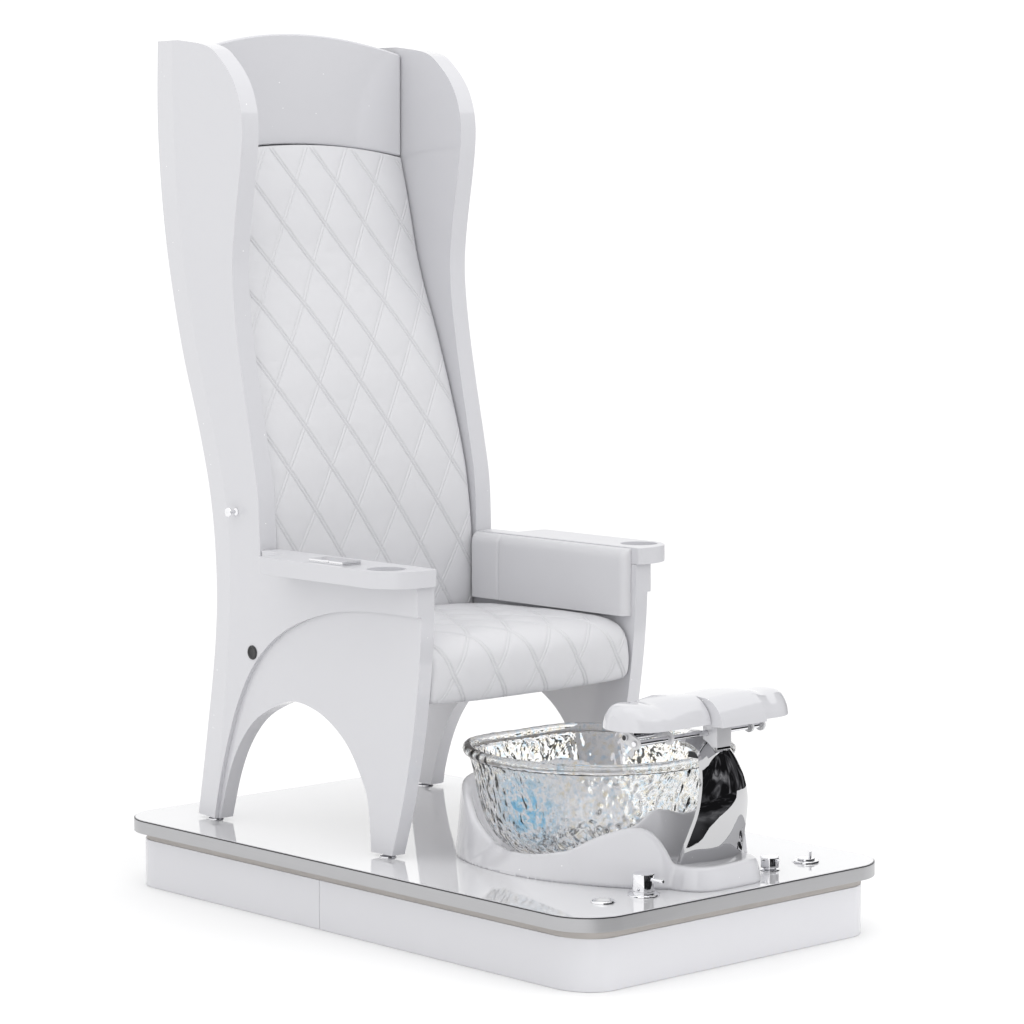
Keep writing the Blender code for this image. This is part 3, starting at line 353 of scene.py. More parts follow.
def loft(name, sections, ring=False):
    """Skin matching closed cross-sections, capped at both ends or joined into a ring."""
    bm = bmesh.new()
    rings = [[bm.verts.new(point) for point in section] for section in sections]
    followers = rings[1:] + (rings[:1] if ring else [])
    for first, second in zip(rings, followers):
        count = len(first)
        for i in range(count):
            j = (i + 1) % count
            bm.faces.new((first[i], first[j], second[j], second[i]))
    if not ring:
        bm.faces.new(rings[0])
        bm.faces.new(rings[-1])
    return from_bmesh(name, bm)


def outline_solid(name, loops, low, high, plane):
    """Extrude flat loops (the outer one first, then any holes) between two levels."""
    curve = bpy.data.curves.new(name, "CURVE")
    curve.dimensions = "2D"
    curve.fill_mode = "BOTH"
    curve.extrude = (high - low) / 2
    for loop in loops:
        spline = curve.splines.new("POLY")
        spline.points.add(len(loop) - 1)
        for point, (across, along) in zip(spline.points, loop):
            point.co = (across, along, 0, 1)
        spline.use_cyclic_u = True
    guide = new_object(name + "_outline", curve)
    mesh = evaluated_mesh(guide)
    bpy.data.objects.remove(guide, do_unlink=True)
    bpy.data.curves.remove(curve)
    mesh.transform(PLANES[plane] @ Matrix.Translation((0, 0, (low + high) / 2)))
    bm = to_bmesh(mesh)
    bmesh.ops.remove_doubles(bm, verts=bm.verts, dist=0.00001)
    return from_bmesh(name, bm)


def turned(name, profile, location, axis="Z", closed=False, steps=64):
    """Turn a (radius, height) profile about an axis, its first point at the top."""
    bm = bmesh.new()
    columns = []
    for k in range(steps):
        angle = 2 * math.pi * k / steps
        columns.append([bm.verts.new(AXES[axis] @ Vector((
            r * math.cos(angle), r * math.sin(angle), h)) + Vector(location))
            for r, h in profile])
    count = len(profile)
    for first, second in zip(columns, columns[1:] + columns[:1]):
        for i in range(count if closed else count - 1):
            j = (i + 1) % count
            bm.faces.new((first[i], first[j], second[j], second[i]))
    bmesh.ops.remove_doubles(bm, verts=bm.verts, dist=0.000001)
    return from_bmesh(name, bm)


def block(name, low, high):
    bm = bmesh.new()
    bmesh.ops.create_cube(bm, size=1.0)
    low, high = Vector(low), Vector(high)
    bmesh.ops.scale(bm, vec=high - low, verts=bm.verts)
    bmesh.ops.translate(bm, vec=(high + low) / 2, verts=bm.verts)
    return from_bmesh(name, bm)


def modify(obj, kind, **settings):
    """Apply one modifier, so that the evaluated shape becomes the mesh."""
    modifier = obj.modifiers.new(kind, kind)
    for name, value in settings.items():
        setattr(modifier, name, value)
    mesh, old = evaluated_mesh(obj), obj.data
    obj.modifiers.clear()
    obj.data = mesh
    bpy.data.meshes.remove(old)
    return obj


def combine(obj, other, operation):
    modify(obj, "BOOLEAN", operation=operation, solver="EXACT", object=other)
    bpy.data.objects.remove(other, do_unlink=True)
    return obj


def cut(obj, other):
    return combine(obj, other, "DIFFERENCE")


def merge_flats(obj):
    """Join coplanar faces, so that each flat side shades as one."""
    bm = bmesh.new()
    bm.from_mesh(obj.data)
    bmesh.ops.dissolve_limit(bm, angle_limit=math.radians(0.4), verts=bm.verts,
                             edges=bm.edges, delimit={"NORMAL"})
    bm.to_mesh(obj.data)
    bm.free()


def round_edges(obj, width, segments=3, angle=30.0):
    merge_flats(obj)
    modify(obj, "BEVEL", width=width, segments=segments, limit_method="ANGLE",
           angle_limit=math.radians(angle), use_clamp_overlap=True)
    obj["rounded"] = True
    return obj


def smooth(obj, angle):
    obj.data.shade_smooth()
    obj.data.set_sharp_from_angle(angle=math.radians(angle))


def shade(obj, angle=35.0):
    smooth(obj, angle)
    if obj.get("rounded"):
        weigh(obj)
    return obj


def weigh(obj):
    """Let the large faces beside a rounded edge keep their own flat shading."""
    return modify(obj, "WEIGHTED_NORMAL", weight=100, keep_sharp=True)


def place(obj, material, replaces=(), body=ROOT, slot=None):
    obj.data.materials.clear()
    obj.data.materials.append(MATERIALS[material])
    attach(obj, body)
    if replaces:
        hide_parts(*([replaces] if isinstance(replaces, str) else replaces))
    return obj


def in_metres(profile):
    return [(radius / 1000, height / 1000) for radius, height in profile]


def part(name, material, spot, profile, axis="Z", body=ROOT, closed=False, fused=()):
    """Turned piece of the frame, its profile in millimetres, with any others fused on."""
    obj = turned(name, in_metres(profile), spot, axis, closed)
    for other in fused:
        combine(obj, other, "UNION")
    place(shade(obj), material, name, body)


def slab(name, material, loops, low, high, rounding=0.0, plane="XY"):
    """Flat piece of the frame cut from sheet, its edges rounded."""
    obj = outline_solid(name, loops, low, high, plane)
    if rounding:
        round_edges(obj, rounding, 2)
    place(shade(obj), material, name)


def bore(obj, spot, radius, high=0.06, low=-0.06, axis="Z", steps=64):
    cut(obj, turned("bore", [(0, high), (radius, high), (radius, low), (0, low)], spot, axis,
                    steps=steps))


def flow(points, steps, closed=False):
    """Catmull-Rom points through a run of points of any dimension."""
    count = len(points)
    result = []
    for i in range(count if closed else count - 1):
        if closed:
            a, b, c, d = (points[(i + k) % count] for k in (-1, 0, 1, 2))
        else:
            a, b, c = points[max(i - 1, 0)], points[i], points[i + 1]
            d = points[min(i + 2, count - 1)]
        for k in range(steps):
            t = k / steps
            result.append(tuple(
                0.5 * (2 * q + (r - p) * t + (2 * p - 5 * q + 4 * r - s) * t * t
                       + (3 * q - p - 3 * r + s) * t ** 3)
                for p, q, r, s in zip(a, b, c, d)))
    if not closed:
        result.append(tuple(points[-1]))
    return result


def clamp(value, low=0.0, high=1.0):
    return min(max(value, low), high)


def interpolate(table, x):
    return float(np.interp(x, [row[0] for row in table], [row[1] for row in table]))


def rounded_rectangle(x0, x1, y0, y1, radii, steps=16):
    """Loop from the (x0, y0) corner counter-clockwise; radii follow the same order."""
    corners = ((x0, y0, 1, 1, 180), (x1, y0, -1, 1, 270), (x1, y1, -1, -1, 0),
               (x0, y1, 1, -1, 90))
    loop = []
    for (x, y, sx, sy, start), radius in zip(corners, radii):
        if radius == 0:
            loop.append((x, y))
            continue
        for k in range(steps + 1):
            angle = math.radians(start + 90 * k / steps)
            loop.append((x + radius * (sx + math.cos(angle)),
                         y + radius * (sy + math.sin(angle))))
    return loop


def circle(x, y, radius, steps=48):
    return [(x + radius * math.cos(2 * math.pi * k / steps),
             y + radius * math.sin(2 * math.pi * k / steps)) for k in range(steps)]


def capsule(a, b, radius, steps=16):
    heading = math.atan2(b[1] - a[1], b[0] - a[0])
    loop = []
    for centre, start in ((b, -90), (a, 90)):
        for k in range(steps + 1):
            angle = heading + math.radians(start + 180 * k / steps)
            loop.append((centre[0] + radius * math.cos(angle),
                         centre[1] + radius * math.sin(angle)))
    return loop


def mirrored(loop, side):
    return [(side * x, y) for x, y in (loop if side > 0 else loop[::-1])]


# ------------------------------------------------------------------ platform
PLATE_X, PLATE_Y, PLATE_CORNER = 0.4425, 0.750, 0.10
PLATE_TOP = 0.152
DECK = PLATE_TOP + GAP      # where the pieces that stand on the platform begin
BAND_TOP = PLATE_TOP - 0.0032
CABINET_TOP = 0.104
SEAM_Y = 0.075
TAP_RIGHT, TAP_LEFT = (-0.187, -0.647), (0.175, -0.647)
BUTTON, KNOB = (-0.292, -0.641), (0.290, -0.641)
DRAIN_Y, JET_Y = -0.405, -0.275


def plate_loop(inset, corner):
    x, y = PLATE_X - inset, PLATE_Y - inset
    return rounded_rectangle(-x, x, -y, y, (corner,) * 4)


def cabinet_half(name, end):
    """A U-shaped skirt, open to the seam; end is -1 for the front half."""
    x, y, r, wall = PLATE_X - 0.025, PLATE_Y - 0.025, 0.075, 0.005
    seam = SEAM_Y + end * 0.0004
    outer = rounded_rectangle(-x, x, seam, y, (0, 0, r, r))
    inner = rounded_rectangle(-x + wall, x - wall, seam, y - wall, (0, 0, r - wall, r - wall))
    loop = outer[1:] + outer[:1] + inner[:1] + inner[1:][::-1]
    if end < 0:
        loop = [(px, (py - seam) * -(y + seam) / (y - seam) + seam) for px, py in loop]
    slab(name, "cabinet", [loop], 0, CABINET_TOP, 0.0010)


def build_platform():
    cabinet_half("cabinet_rear", 1)
    cabinet_half("cabinet_front", -1)
    slab("platform_sub_frame", "board", [plate_loop(0.027, 0.075), plate_loop(0.077, 0.008)],
         CABINET_TOP + GAP, 0.1247)
    holes = [circle(0, DRAIN_Y, 0.024), circle(0, JET_Y, 0.0375), circle(*TAP_RIGHT, 0.0125),
             circle(*TAP_LEFT, 0.0125), circle(*BUTTON, 0.0207), circle(*KNOB, 0.0105)]
    slab("platform_top", "deck", [plate_loop(0.0023, 0.0977), *holes], 0.125, PLATE_TOP,
         0.0012)
    gasket = outline_solid("platform_edge_gasket", [plate_loop(0.0003, 0.0997),
                                                    plate_loop(0.0021, 0.0979)],
                           BAND_TOP, PLATE_TOP - 0.0012, "XY")
    place(shade(gasket), "black", slot="rubber")
    slab("platform_edge_band", "brushed", [plate_loop(0, 0.1), plate_loop(0.002, 0.098)],
         0.122, BAND_TOP, 0.0006)


# ------------------------------------------------------------------ chair shell
OUTER_X, PANEL_THICKNESS = 0.334, 0.045
INNER_X = OUTER_X - PANEL_THICKNESS
HALF_INSIDE = INNER_X - GAP
LEG_BOTTOM = 0.160
TRAY_TOP, TRAY_BOTTOM = 0.763, 0.727
REAR_EDGE = [(0.608, LEG_BOTTOM), (0.576, 0.327), (0.540, 0.540), (0.534, 0.700),
             (0.555, 0.870), (0.598, 1.028), (0.650, 1.180), (0.697, 1.370),
             (0.722, 1.530), (0.733, 1.690), (0.728, 1.851)]
CREASE = [(0.545, LEG_BOTTOM - 0.06), (0.518, 0.260), (0.490, 0.470), (0.475, 0.640),
          (0.480, 0.830), (0.519, 0.990), (0.566, 1.130), (0.607, 1.280),
          (0.640, 1.450), (0.658, 1.640), (0.664, 1.920)]
WING_TOP = [(0.640, 1.851), (0.540, 1.836), (0.488, 1.803), (0.447, 1.757),
            (0.424, 1.700), (0.420, 1.640), (0.430, 1.560), (0.447, 1.460),
            (0.457, 1.370), (0.453, 1.290), (0.438, 1.190), (0.416, 1.080),
            (0.392, 0.970), (0.374, 0.870), (0.368, TRAY_BOTTOM - GAP)]
ARM_FRONT = [(-0.142, TRAY_BOTTOM - GAP), (-0.142, 0.650), (-0.132, 0.530),
             (-0.112, 0.400), (-0.082, 0.270), (-0.048, LEG_BOTTOM)]
ARCH = [(0.018, LEG_BOTTOM), (0.028, 0.262), (0.052, 0.316), (0.090, 0.370),
        (0.140, 0.410), (0.200, 0.437), (0.270, 0.447), (0.330, 0.430),
        (0.400, 0.393), (0.455, 0.335), (0.495, 0.260), (0.527, LEG_BOTTOM)]
ARC_STEP = [(0.535, LEG_BOTTOM - 0.06), (0.532, 0.170), (0.500, 0.295), (0.447, 0.430),
            (0.378, 0.530), (0.278, 0.602), (0.142, 0.648), (0.000, 0.664),
            (-0.220, 0.665)]
ARCH_RISE = 0.027           # rise of the line where headrest and back cushion meet


def side_panel(name, side):
    """Wing, arm and legs in one moulding, with a recessed arc and a chamfered rear edge."""
    outline = (flow(REAR_EDGE, 7) + flow(WING_TOP, 7) + flow(ARM_FRONT, 6)
               + flow(ARCH, 7))
    low, high = sorted((side * INNER_X, side * OUTER_X))
    panel = outline_solid(name, [outline], low, high, "YZ")
    step = flow(ARC_STEP, 8) + [(-0.220, 0.05), (0.535, 0.05)]
    low, high = sorted((side * (OUTER_X - 0.010), side * (OUTER_X + 0.05)))
    cut(panel, outline_solid(name + "_arc", [step], low, high, "YZ"))
    away, fall = 0.20, 0.012 / 0.07     # reach and slope of the chamfer behind the crease
    back_x, far_x = side * (OUTER_X - fall * away), side * (OUTER_X + 0.05)
    sections = [[(side * OUTER_X, y, z), (back_x, y + away, z), (far_x, y + away, z),
                 (far_x, y, z)] for y, z in flow(CREASE, 6)]
    cut(panel, loft(name + "_chamfer", sections))
    round_edges(panel, 0.0035, 3, 32)
    smooth(panel, 32)
    sharpen_flats(panel)
    place(weigh(panel), "gelcoat", name)


def sharpen_flats(obj):
    """Keep the soft crease between two nearly coplanar side faces crisp."""
    bm = bmesh.new()
    bm.from_mesh(obj.data)
    for edge in bm.edges:
        if len(edge.link_faces) != 2:
            continue
        a, b = edge.link_faces
        if min(abs(a.normal.x), abs(b.normal.x)) > 0.95 and a.normal.angle(b.normal, 0) > 0.03:
            if max(a.calc_area(), b.calc_area()) > 0.0002:
                edge.smooth = False
    bm.to_mesh(obj.data)
    bm.free()


def rear_edge_y(z):
    return interpolate([(height, y) for y, height in REAR_EDGE], z)


def build_shell():
    for side, word in SIDES:
        side_panel("side_panel_" + word, side)
    curve = flow([(y - 0.020, z) for y, z in REAR_EDGE], 6)
    rear = [(y, z) for y, z in curve if 0.452 <= z <= 1.843]
    rear = [(rear_edge_y(0.45) - 0.020, 0.450)] + rear + [(rear_edge_y(1.845) - 0.020, 1.845)]
    front = [(y - 0.010, z) for y, z in rear[::-1]]
    slab("back_shell", "gelcoat", [rear + front], -HALF_INSIDE, HALF_INSIDE, 0.002, "YZ")
    build_headrest()


def build_headrest():
    """Crowned panel between the wings, its top and bottom edges arched."""
    columns, rows, thickness = 64, 26, 0.022
    half = HALF_INSIDE - 0.0028
    sheets = []
    for depth in (-thickness / 2, thickness / 2):
        sheet = []
        for i in range(columns + 1):
            share = 2 * i / columns - 1
            arch = 1 - share * share
            low, high = 1.603 + ARCH_RISE * arch, 1.833 + 0.041 * arch
            sheet.append([(share * half, 0.632 + 0.022 * arch + depth,
                           low + (high - low) * j / rows) for j in range(rows + 1)])
        sheets.append(sheet)
    sections = [front + rear[::-1] for front, rear in zip(*sheets)]
    panel = loft("headrest_panel", sections)
    place(shade(round_edges(panel, 0.005, 4, 50)), "gelcoat", "headrest_panel")


# ------------------------------------------------------------------ upholstery
DIAMOND_X, DIAMOND_S = 0.1167, 0.1849     # quilting pitch across and along
SEAM_GAP = 0.0038                          # half the distance between the twin seams
CUSHION_FRONT = [(0.376, 0.510), (0.372, 0.690), (0.386, 0.850), (0.410, 0.962),
                 (0.453, 1.096), (0.494, 1.208), (0.552, 1.354), (0.590, 1.502),
                 (0.6239, 1.627)]


def seam_distances(x, s, start_x, start_s):
    """Distance to the nearest line of each family of seams."""
    scale = DIAMOND_X * DIAMOND_S / math.hypot(DIAMOND_X, DIAMOND_S)
    across, along = (x - start_x) / DIAMOND_X, (s - start_s) / DIAMOND_S
    result = []
    for phase in (across + along, across - along):
        result.append(np.abs(phase - np.round(phase)) * scale)
    return result


def seam_relief(over, under):
    """Twin stitched channels beside a flat welt; the first family runs over the second."""
    def channel(d):
        groove = -0.0015 * np.exp(-((d - SEAM_GAP) / 0.0011) ** 2)
        return groove + 0.0006 * np.exp(-(d / 0.0022) ** 2)
    hidden = np.clip((over - 0.0040) / 0.0035, 0, 1)
    return 1.45 * channel(over) + 0.95 * channel(under) * hidden


CLOTH = {"quality": 5, "mass": 0.25, "tension_stiffness": 12, "compression_stiffness": 12,
         "shear_stiffness": 4, "bending_stiffness": 0.6, "shrink_min": -0.02,
         "use_pressure": True, "uniform_pressure_force": 4.0,
         "vertex_group_mass": "stitched"}


def billow(points, faces, pinned, normals, cap):
    """Outward swell of a stitched sheet under stuffing pressure, from a cloth run."""
    mesh = bpy.data.meshes.new("stuffing")
    mesh.from_pydata(points.tolist(), [], faces)
    sheet = new_object("stuffing", mesh)
    group = sheet.vertex_groups.new(name="stitched")
    group.add([int(i) for i in np.nonzero(pinned)[0]], 1.0, "REPLACE")
    cloth = sheet.modifiers.new("cloth", "CLOTH")
    for setting, value in CLOTH.items():
        setattr(cloth.settings, setting, value)
    cloth.settings.effector_weights.gravity = 0.0
    cloth.collision_settings.use_collision = False
    for number in range(1, 21):
        SCENE.frame_set(number)
    state = sheet.evaluated_get(bpy.context.evaluated_depsgraph_get())
    moved = np.zeros(len(points) * 3)
    state.data.vertices.foreach_get("co", moved)
    SCENE.frame_set(1)
    bpy.data.objects.remove(sheet, do_unlink=True)
    bpy.data.meshes.remove(mesh)
    out = np.einsum("ij,ij->i", moved.reshape(-1, 3) - points, normals)
    return np.clip(np.abs(out), 0, cap)


def resample(path, spacing):
    """Evenly spaced points and outward normals along a (y, z) path, with the arc length."""
    path = np.array(path)
    run = np.concatenate([[0], np.cumsum(np.hypot(*np.diff(path, axis=0).T))])
    count = max(int(round(run[-1] / spacing)), 2)
    s = np.linspace(0, run[-1], count + 1)
    y, z = np.interp(s, run, path[:, 0]), np.interp(s, run, path[:, 1])
    dy, dz = np.gradient(y, s), np.gradient(z, s)
    length = np.hypot(dy, dz)
    return s, np.stack([y, z], 1), np.stack([-dz / length, dy / length], 1)


def sheet_grid(path, half, spacing, crown, roll, droop=0.0):
    """Grid of points and normals over a cushion's show face, rolled over at its edges.

    droop is how much shorter the sides are than the middle, which arches the last edge.
    """
    s, place_yz, normal_yz = resample(path, spacing)
    x = np.linspace(-half, half, int(round(2 * half / spacing)) + 1)
    points = np.zeros((len(x), len(s), 3))
    points[:, :, 0] = x[:, None]
    bend = s[-1] - 0.20
    shrink = np.clip((s - bend) / 0.20, 0, 1)[None, :] * droop * (x[:, None] / half) ** 2
    true_s = s[None, :] - shrink
    place_yz = np.stack([np.interp(true_s, s, place_yz[:, i]) for i in (0, 1)], 2)
    normal_yz = np.stack([np.interp(true_s, s, normal_yz[:, i]) for i in (0, 1)], 2)
    edge_x = half - np.abs(x)
    edge_s = np.minimum(s, s[-1] - s)
    rise = crown(x[:, None] / half, s[None, :])
    for edge, radius in ((edge_x[:, None], roll[0]), (edge_s[None, :], roll[1])):
        short = np.clip(radius - edge, 0, radius)
        rise = rise - (radius - np.sqrt(radius ** 2 - short ** 2)) * 0.9
    points[:, :, 1:] = place_yz + normal_yz * rise[:, :, None]
    normals = np.zeros_like(points)
    normals[:, :, 1:] = normal_yz
    return x, s, true_s, points, normals


def grid_faces(columns, rows):
    index = np.arange(columns * rows).reshape(columns, rows)
    quads = np.stack([index[:-1, :-1], index[1:, :-1], index[1:, 1:], index[:-1, 1:]], -1)
    return quads.reshape(-1, 4).tolist()


def spread(coarse_x, coarse_s, values, x, s):
    """Bilinear values of a coarse grid on a finer one."""
    along = np.stack([np.interp(s, coarse_s, row) for row in values])
    return np.stack([np.interp(x, coarse_x, column) for column in along.T], 1)


def soften(values, rounds):
    for _ in range(rounds):
        padded = np.pad(values, 1, mode="edge")
        values = (padded[:-2, 1:-1] + padded[2:, 1:-1] + padded[1:-1, :-2]
                  + padded[1:-1, 2:] + 4 * values) / 8
    return values


BACK_DRIFT = [(0, -0.003), (0.42, -0.006), (0.60, 0.000), (0.79, 0.009), (0.97, -0.001),
              (1.10, -0.004)]   # sideways wander of the seams, by distance up the cushion
SEAT_DRIFT = [(0.065, 0), (0.165, 0.026), (0.260, 0.030)]


def quilted(name, path, half, back, crown, roll, start, puff, droop=0.0, drift=((0, 0),),
            fine=0.0016):
    """Quilted cushion: cloth-swollen diamonds, then twin seams, closed behind."""
    x, s, true_s, points, normals = sheet_grid(path, half, fine, crown, roll, droop)
    drift_s, drift_x = zip(*drift)
    over, under = seam_distances(x[:, None] - np.interp(true_s, drift_s, drift_x), true_s,
                                 *start)
    near = np.minimum(over, under)
    cx, cs, rough_s, rough, outward = sheet_grid(path, half, 0.0068, crown, roll, droop)
    a, b = seam_distances(cx[:, None] - np.interp(rough_s, drift_s, drift_x), rough_s,
                          *start)
    pinned = np.minimum(a, b) < 0.0042
    pinned[[0, -1], :] = True
    pinned[:, [0, -1]] = True
    lift = billow(rough.reshape(-1, 3), grid_faces(len(cx), len(cs)), pinned.ravel(),
                  outward.reshape(-1, 3), 0.02).reshape(len(cx), len(cs))
    lift = soften(lift * puff / np.percentile(lift, 97), 2)
    swell = spread(cx, cs, lift, x, s)
    swell = swell * (1 - np.exp(-(near / 0.0075) ** 2))
    edge = np.minimum((half - np.abs(x))[:, None], np.minimum(s, s[-1] - s)[None, :])
    fade = np.clip(edge / 0.012, 0, 1)
    rise = (swell + seam_relief(over, under)) * fade
    points = points + normals * rise[:, :, None]
    columns, rows = len(x), len(s)
    rear_rows = 24
    rear = [(float(across), *back(k / (rear_rows - 1), float(across) / half))
            for across in x for k in range(rear_rows)]
    vertices = points.reshape(-1, 3).tolist() + rear
    index = np.arange(columns * rows).reshape(columns, rows)
    behind = np.arange(columns * rear_rows).reshape(columns, rear_rows) + columns * rows
    faces = grid_faces(columns, rows)
    faces += [[i + columns * rows for i in face[::-1]] for face in grid_faces(columns, rear_rows)]
    for row, rear_row in ((index[:, 0], behind[:, 0]), (index[::-1, -1], behind[::-1, -1])):
        for k in range(columns - 1):
            faces.append([int(i) for i in (row[k + 1], row[k], rear_row[k], rear_row[k + 1])])
    for end in (0, -1):
        faces.append([int(i) for i in index[end]] + [int(i) for i in behind[end][::-1]])
    mesh = bpy.data.meshes.new(name)
    mesh.from_pydata(vertices, [], faces)
    cushion = shade(from_bmesh(name, to_bmesh(mesh)), 60)
    place(cushion, "leather", name)


def build_back_cushion():
    def crown(across, s):
        along = np.interp(s, [0, 0.40, 0.62, 0.85, 1.05, 1.17],
                          [0.000, 0.002, 0.010, 0.014, 0.010, 0.004])
        return along * (1 - np.abs(across) ** 3) + 0.002 * (1 - across ** 2)

    def back(share, across):
        z = 0.520 + (1.599 + ARCH_RISE * (1 - across ** 2) - 0.520) * share
        return rear_edge_y(z) - 0.037, z

    quilted("back_cushion", flow(CUSHION_FRONT, 10), HALF_INSIDE - 0.0025, back, crown,
            (0.011, 0.005), (0.0125, 0.4188), 0.0024, ARCH_RISE, BACK_DRIFT)


def build_seat_cushion():
    front = [(0.366, 0.598), (0.250, 0.604), (0.100, 0.608), (0.000, 0.608),
             (-0.050, 0.606), (-0.083, 0.601), (-0.108, 0.590), (-0.124, 0.571),
             (-0.131, 0.545), (-0.133, 0.520), (-0.131, 0.500), (-0.124, 0.485),
             (-0.110, 0.4775)]
    path = flow(front[::-1], 8)

    def crown(across, s):
        return 0.006 * (1 - np.abs(across) ** 4)

    def back(share, across):
        y = -0.085 + (0.366 + 0.085) * share
        return y, (0.4985 if share > 0.02 else 0.4785)

    quilted("seat_cushion", path, HALF_INSIDE - 0.0025, back, crown, (0.017, 0.007),
            (0.0046, 0.0655), 0.0034, drift=SEAT_DRIFT)


def hump(share):
    return math.sin(math.pi * clamp(share))


def arm_pad(name, side):
    """Upholstered inner face of the arm, its front and top rolled, one upright seam."""
    inner, rear, low = HALF_INSIDE - 0.020, 0.362, 0.6145
    plan = rounded_rectangle(inner, HALF_INSIDE, -0.128, rear, (0.0195, 0, 0, 0), 10)
    long_side = [(inner, rear - (rear + 0.108) * k / 120) for k in range(121)]
    plan = long_side + plan[1:-1]
    levels = [(0, low + 0.118 * k / 30) for k in range(31)]
    levels += [(0.018 * (1 - math.cos(a)), 0.735 + 0.0255 * math.sin(a))
               for a in (math.pi / 2 * k / 10 for k in range(1, 11))]
    sections = []
    for inset, z in levels:
        section = []
        for x, y in plan:
            into = min(1.0, (HALF_INSIDE - x) / 0.020)
            crown = 0.0022 * hump((y + 0.11) / 0.42) * hump((z - low + 0.02) / 0.16)
            tail = 0.0014 * hump((y - 0.276) / 0.086)
            seam = 0.0036 * math.exp(-((y - 0.276) / 0.0017) ** 2)
            stitch = 0.0008 * math.exp(-((y - 0.269) / 0.0012) ** 2)
            wave = 0.0006 * noise.noise(Vector((y * 9, z * 9, side)))
            out = (crown + tail + wave - seam - stitch) * into
            px = HALF_INSIDE - (HALF_INSIDE - x) * (1 - inset / 0.0205) - out
            section.append((side * min(px, HALF_INSIDE), y, z))
        sections.append(section)
    pad = loft(name, sections)
    place(shade(pad, 50), "leather", name)


def build_upholstery():
    build_back_cushion()
    build_seat_cushion()
    for side, word in SIDES:
        arm_pad("arm_pad_" + word, side)


# ------------------------------------------------------------------ arms and hardware
def arm_tray(name, side):
    inner, outer = HALF_INSIDE + GAP, 0.415
    front, rear, end = -0.154, 0.280, 0.362
    body = rounded_rectangle(inner, outer, front, rear, (0.008, 0.085, 0.012, 0))
    body = body[:-1] + [(OUTER_X + GAP, rear), (OUTER_X + GAP, end), (inner, end)]
    tray = outline_solid(name, [mirrored(body, side)], TRAY_BOTTOM, TRAY_TOP, "XY")
    bore(tray, (side * 0.362, -0.078, TRAY_TOP), 0.040, 0.02, -0.028, steps=72)
    if side < 0:
        cut(tray, block(name + "_pocket", (-0.388, 0.029, 0.743), (-0.352, 0.123, 0.80)))
    round_edges(tray, 0.0032, 3, 40)
    place(shade(tray, 40), "gelcoat_tray", name, slot="gelcoat")


def build_power_box():
    x, y, half_x, half_y, rim = -0.370, 0.076, 0.026, 0.055, 0.008
    outer = rounded_rectangle(x - half_x, x + half_x, y - half_y, y + half_y, (0.003,) * 4, 6)
    inner = rounded_rectangle(x - half_x + rim, x + half_x - rim, y - half_y + rim,
                              y + half_y - rim, (0.002,) * 4, 6)
    slab("power_box_frame", "chrome", [outer, inner], TRAY_TOP + GAP, TRAY_TOP + 0.003,
         0.0004)
    lid = outline_solid("power_box_lid", [outer], TRAY_TOP + 0.0033, TRAY_TOP + 0.0073, "XY")
    notch = circle(x - half_x - 0.006, y - 0.004, 0.010)
    cut(lid, outline_solid("lid_notch", [notch], TRAY_TOP, TRAY_TOP + 0.03, "XY"))
    place(shade(round_edges(lid, 0.0006, 3)), "chrome", "power_box_lid", "power_lid")


def build_arms():
    for side, word in SIDES:
        arm_tray("arm_tray_" + word, side)
    build_power_box()


def build_hardware():
    face = -OUTER_X - GAP
    part("purse_hook", "chrome", (face, 0.450, 0.840),
         [(0, 26), (5.5, 26), (8.5, 24.5), (10.2, 21.5), (10, 19.5), (6, 16.5), (4.2, 14),
          (3.8, 8), (4.2, 4.5), (7, 2.5), (8, 1.5), (8, 0), (0, 0)], "-X")
    part("cable_grommet", "black", (face, 0.397, 0.540),
         [(0, 0.8), (8.5, 0.8), (9.8, 1.6), (10.6, 2.8), (12.2, 3.1), (14, 2.7),
          (15.2, 1.6), (15.5, 0), (0, 0)], "-X")
    leg_x = OUTER_X - 0.010 - (PANEL_THICKNESS - 0.010) / 2
    for end, y in (("rear", 0.565), ("front", -0.015)):
        for side, word in SIDES:
            part("leveling_foot_%s_%s" % (end, word), "chrome", (side * leg_x, y, DECK),
                 [(0, 7.4), (7, 7.4), (7, 4.6), (10.5, 4), (16, 3.2), (17.8, 1.8), (18, 0),
                  (0, 0)])


# ------------------------------------------------------------------ foot bowl
BOWL_Y, BOWL_FLOOR, RIM_TOP, WALL = -0.335, 0.168, 0.395, 0.008
BOWL_HALF = [(0, -0.078), (0.128, -0.082), (0.205, -0.136), (0.258, -0.220),
             (0.279, -0.315), (0.262, -0.420), (0.205, -0.520), (0.105, -0.583),
             (0, -0.600)]
CRADLE_HALF = [(0, -0.036), (0.118, -0.046), (0.186, -0.090), (0.234, -0.190),
               (0.250, -0.310), (0.236, -0.430), (0.185, -0.525), (0.098, -0.590),
               (0, -0.608)]
BOWL_SCALE = [(BOWL_FLOOR, 0.52), (0.173, 0.600), (0.185, 0.672), (0.205, 0.755),
              (0.239, 0.835), (0.291, 0.890), (0.349, 0.932), (0.371, 0.952)]
LIP_HEIGHT = [(-0.600, 0.286), (-0.597, 0.297), (-0.590, 0.304), (-0.583, 0.294),
              (-0.574, 0.273), (-0.558, 0.264), (-0.540, 0.250), (-0.473, 0.2175),
              (-0.410, 0.204), (-0.341, 0.1965), (-0.260, 0.1940), (-0.205, 0.203),
              (-0.170, 0.242), (-0.140, 0.284), (-0.110, 0.308), (-0.078, 0.318)]


def closed_outline(half, steps):
    return flow(half + [(-x, y) for x, y in half[-2:0:-1]], steps, closed=True)


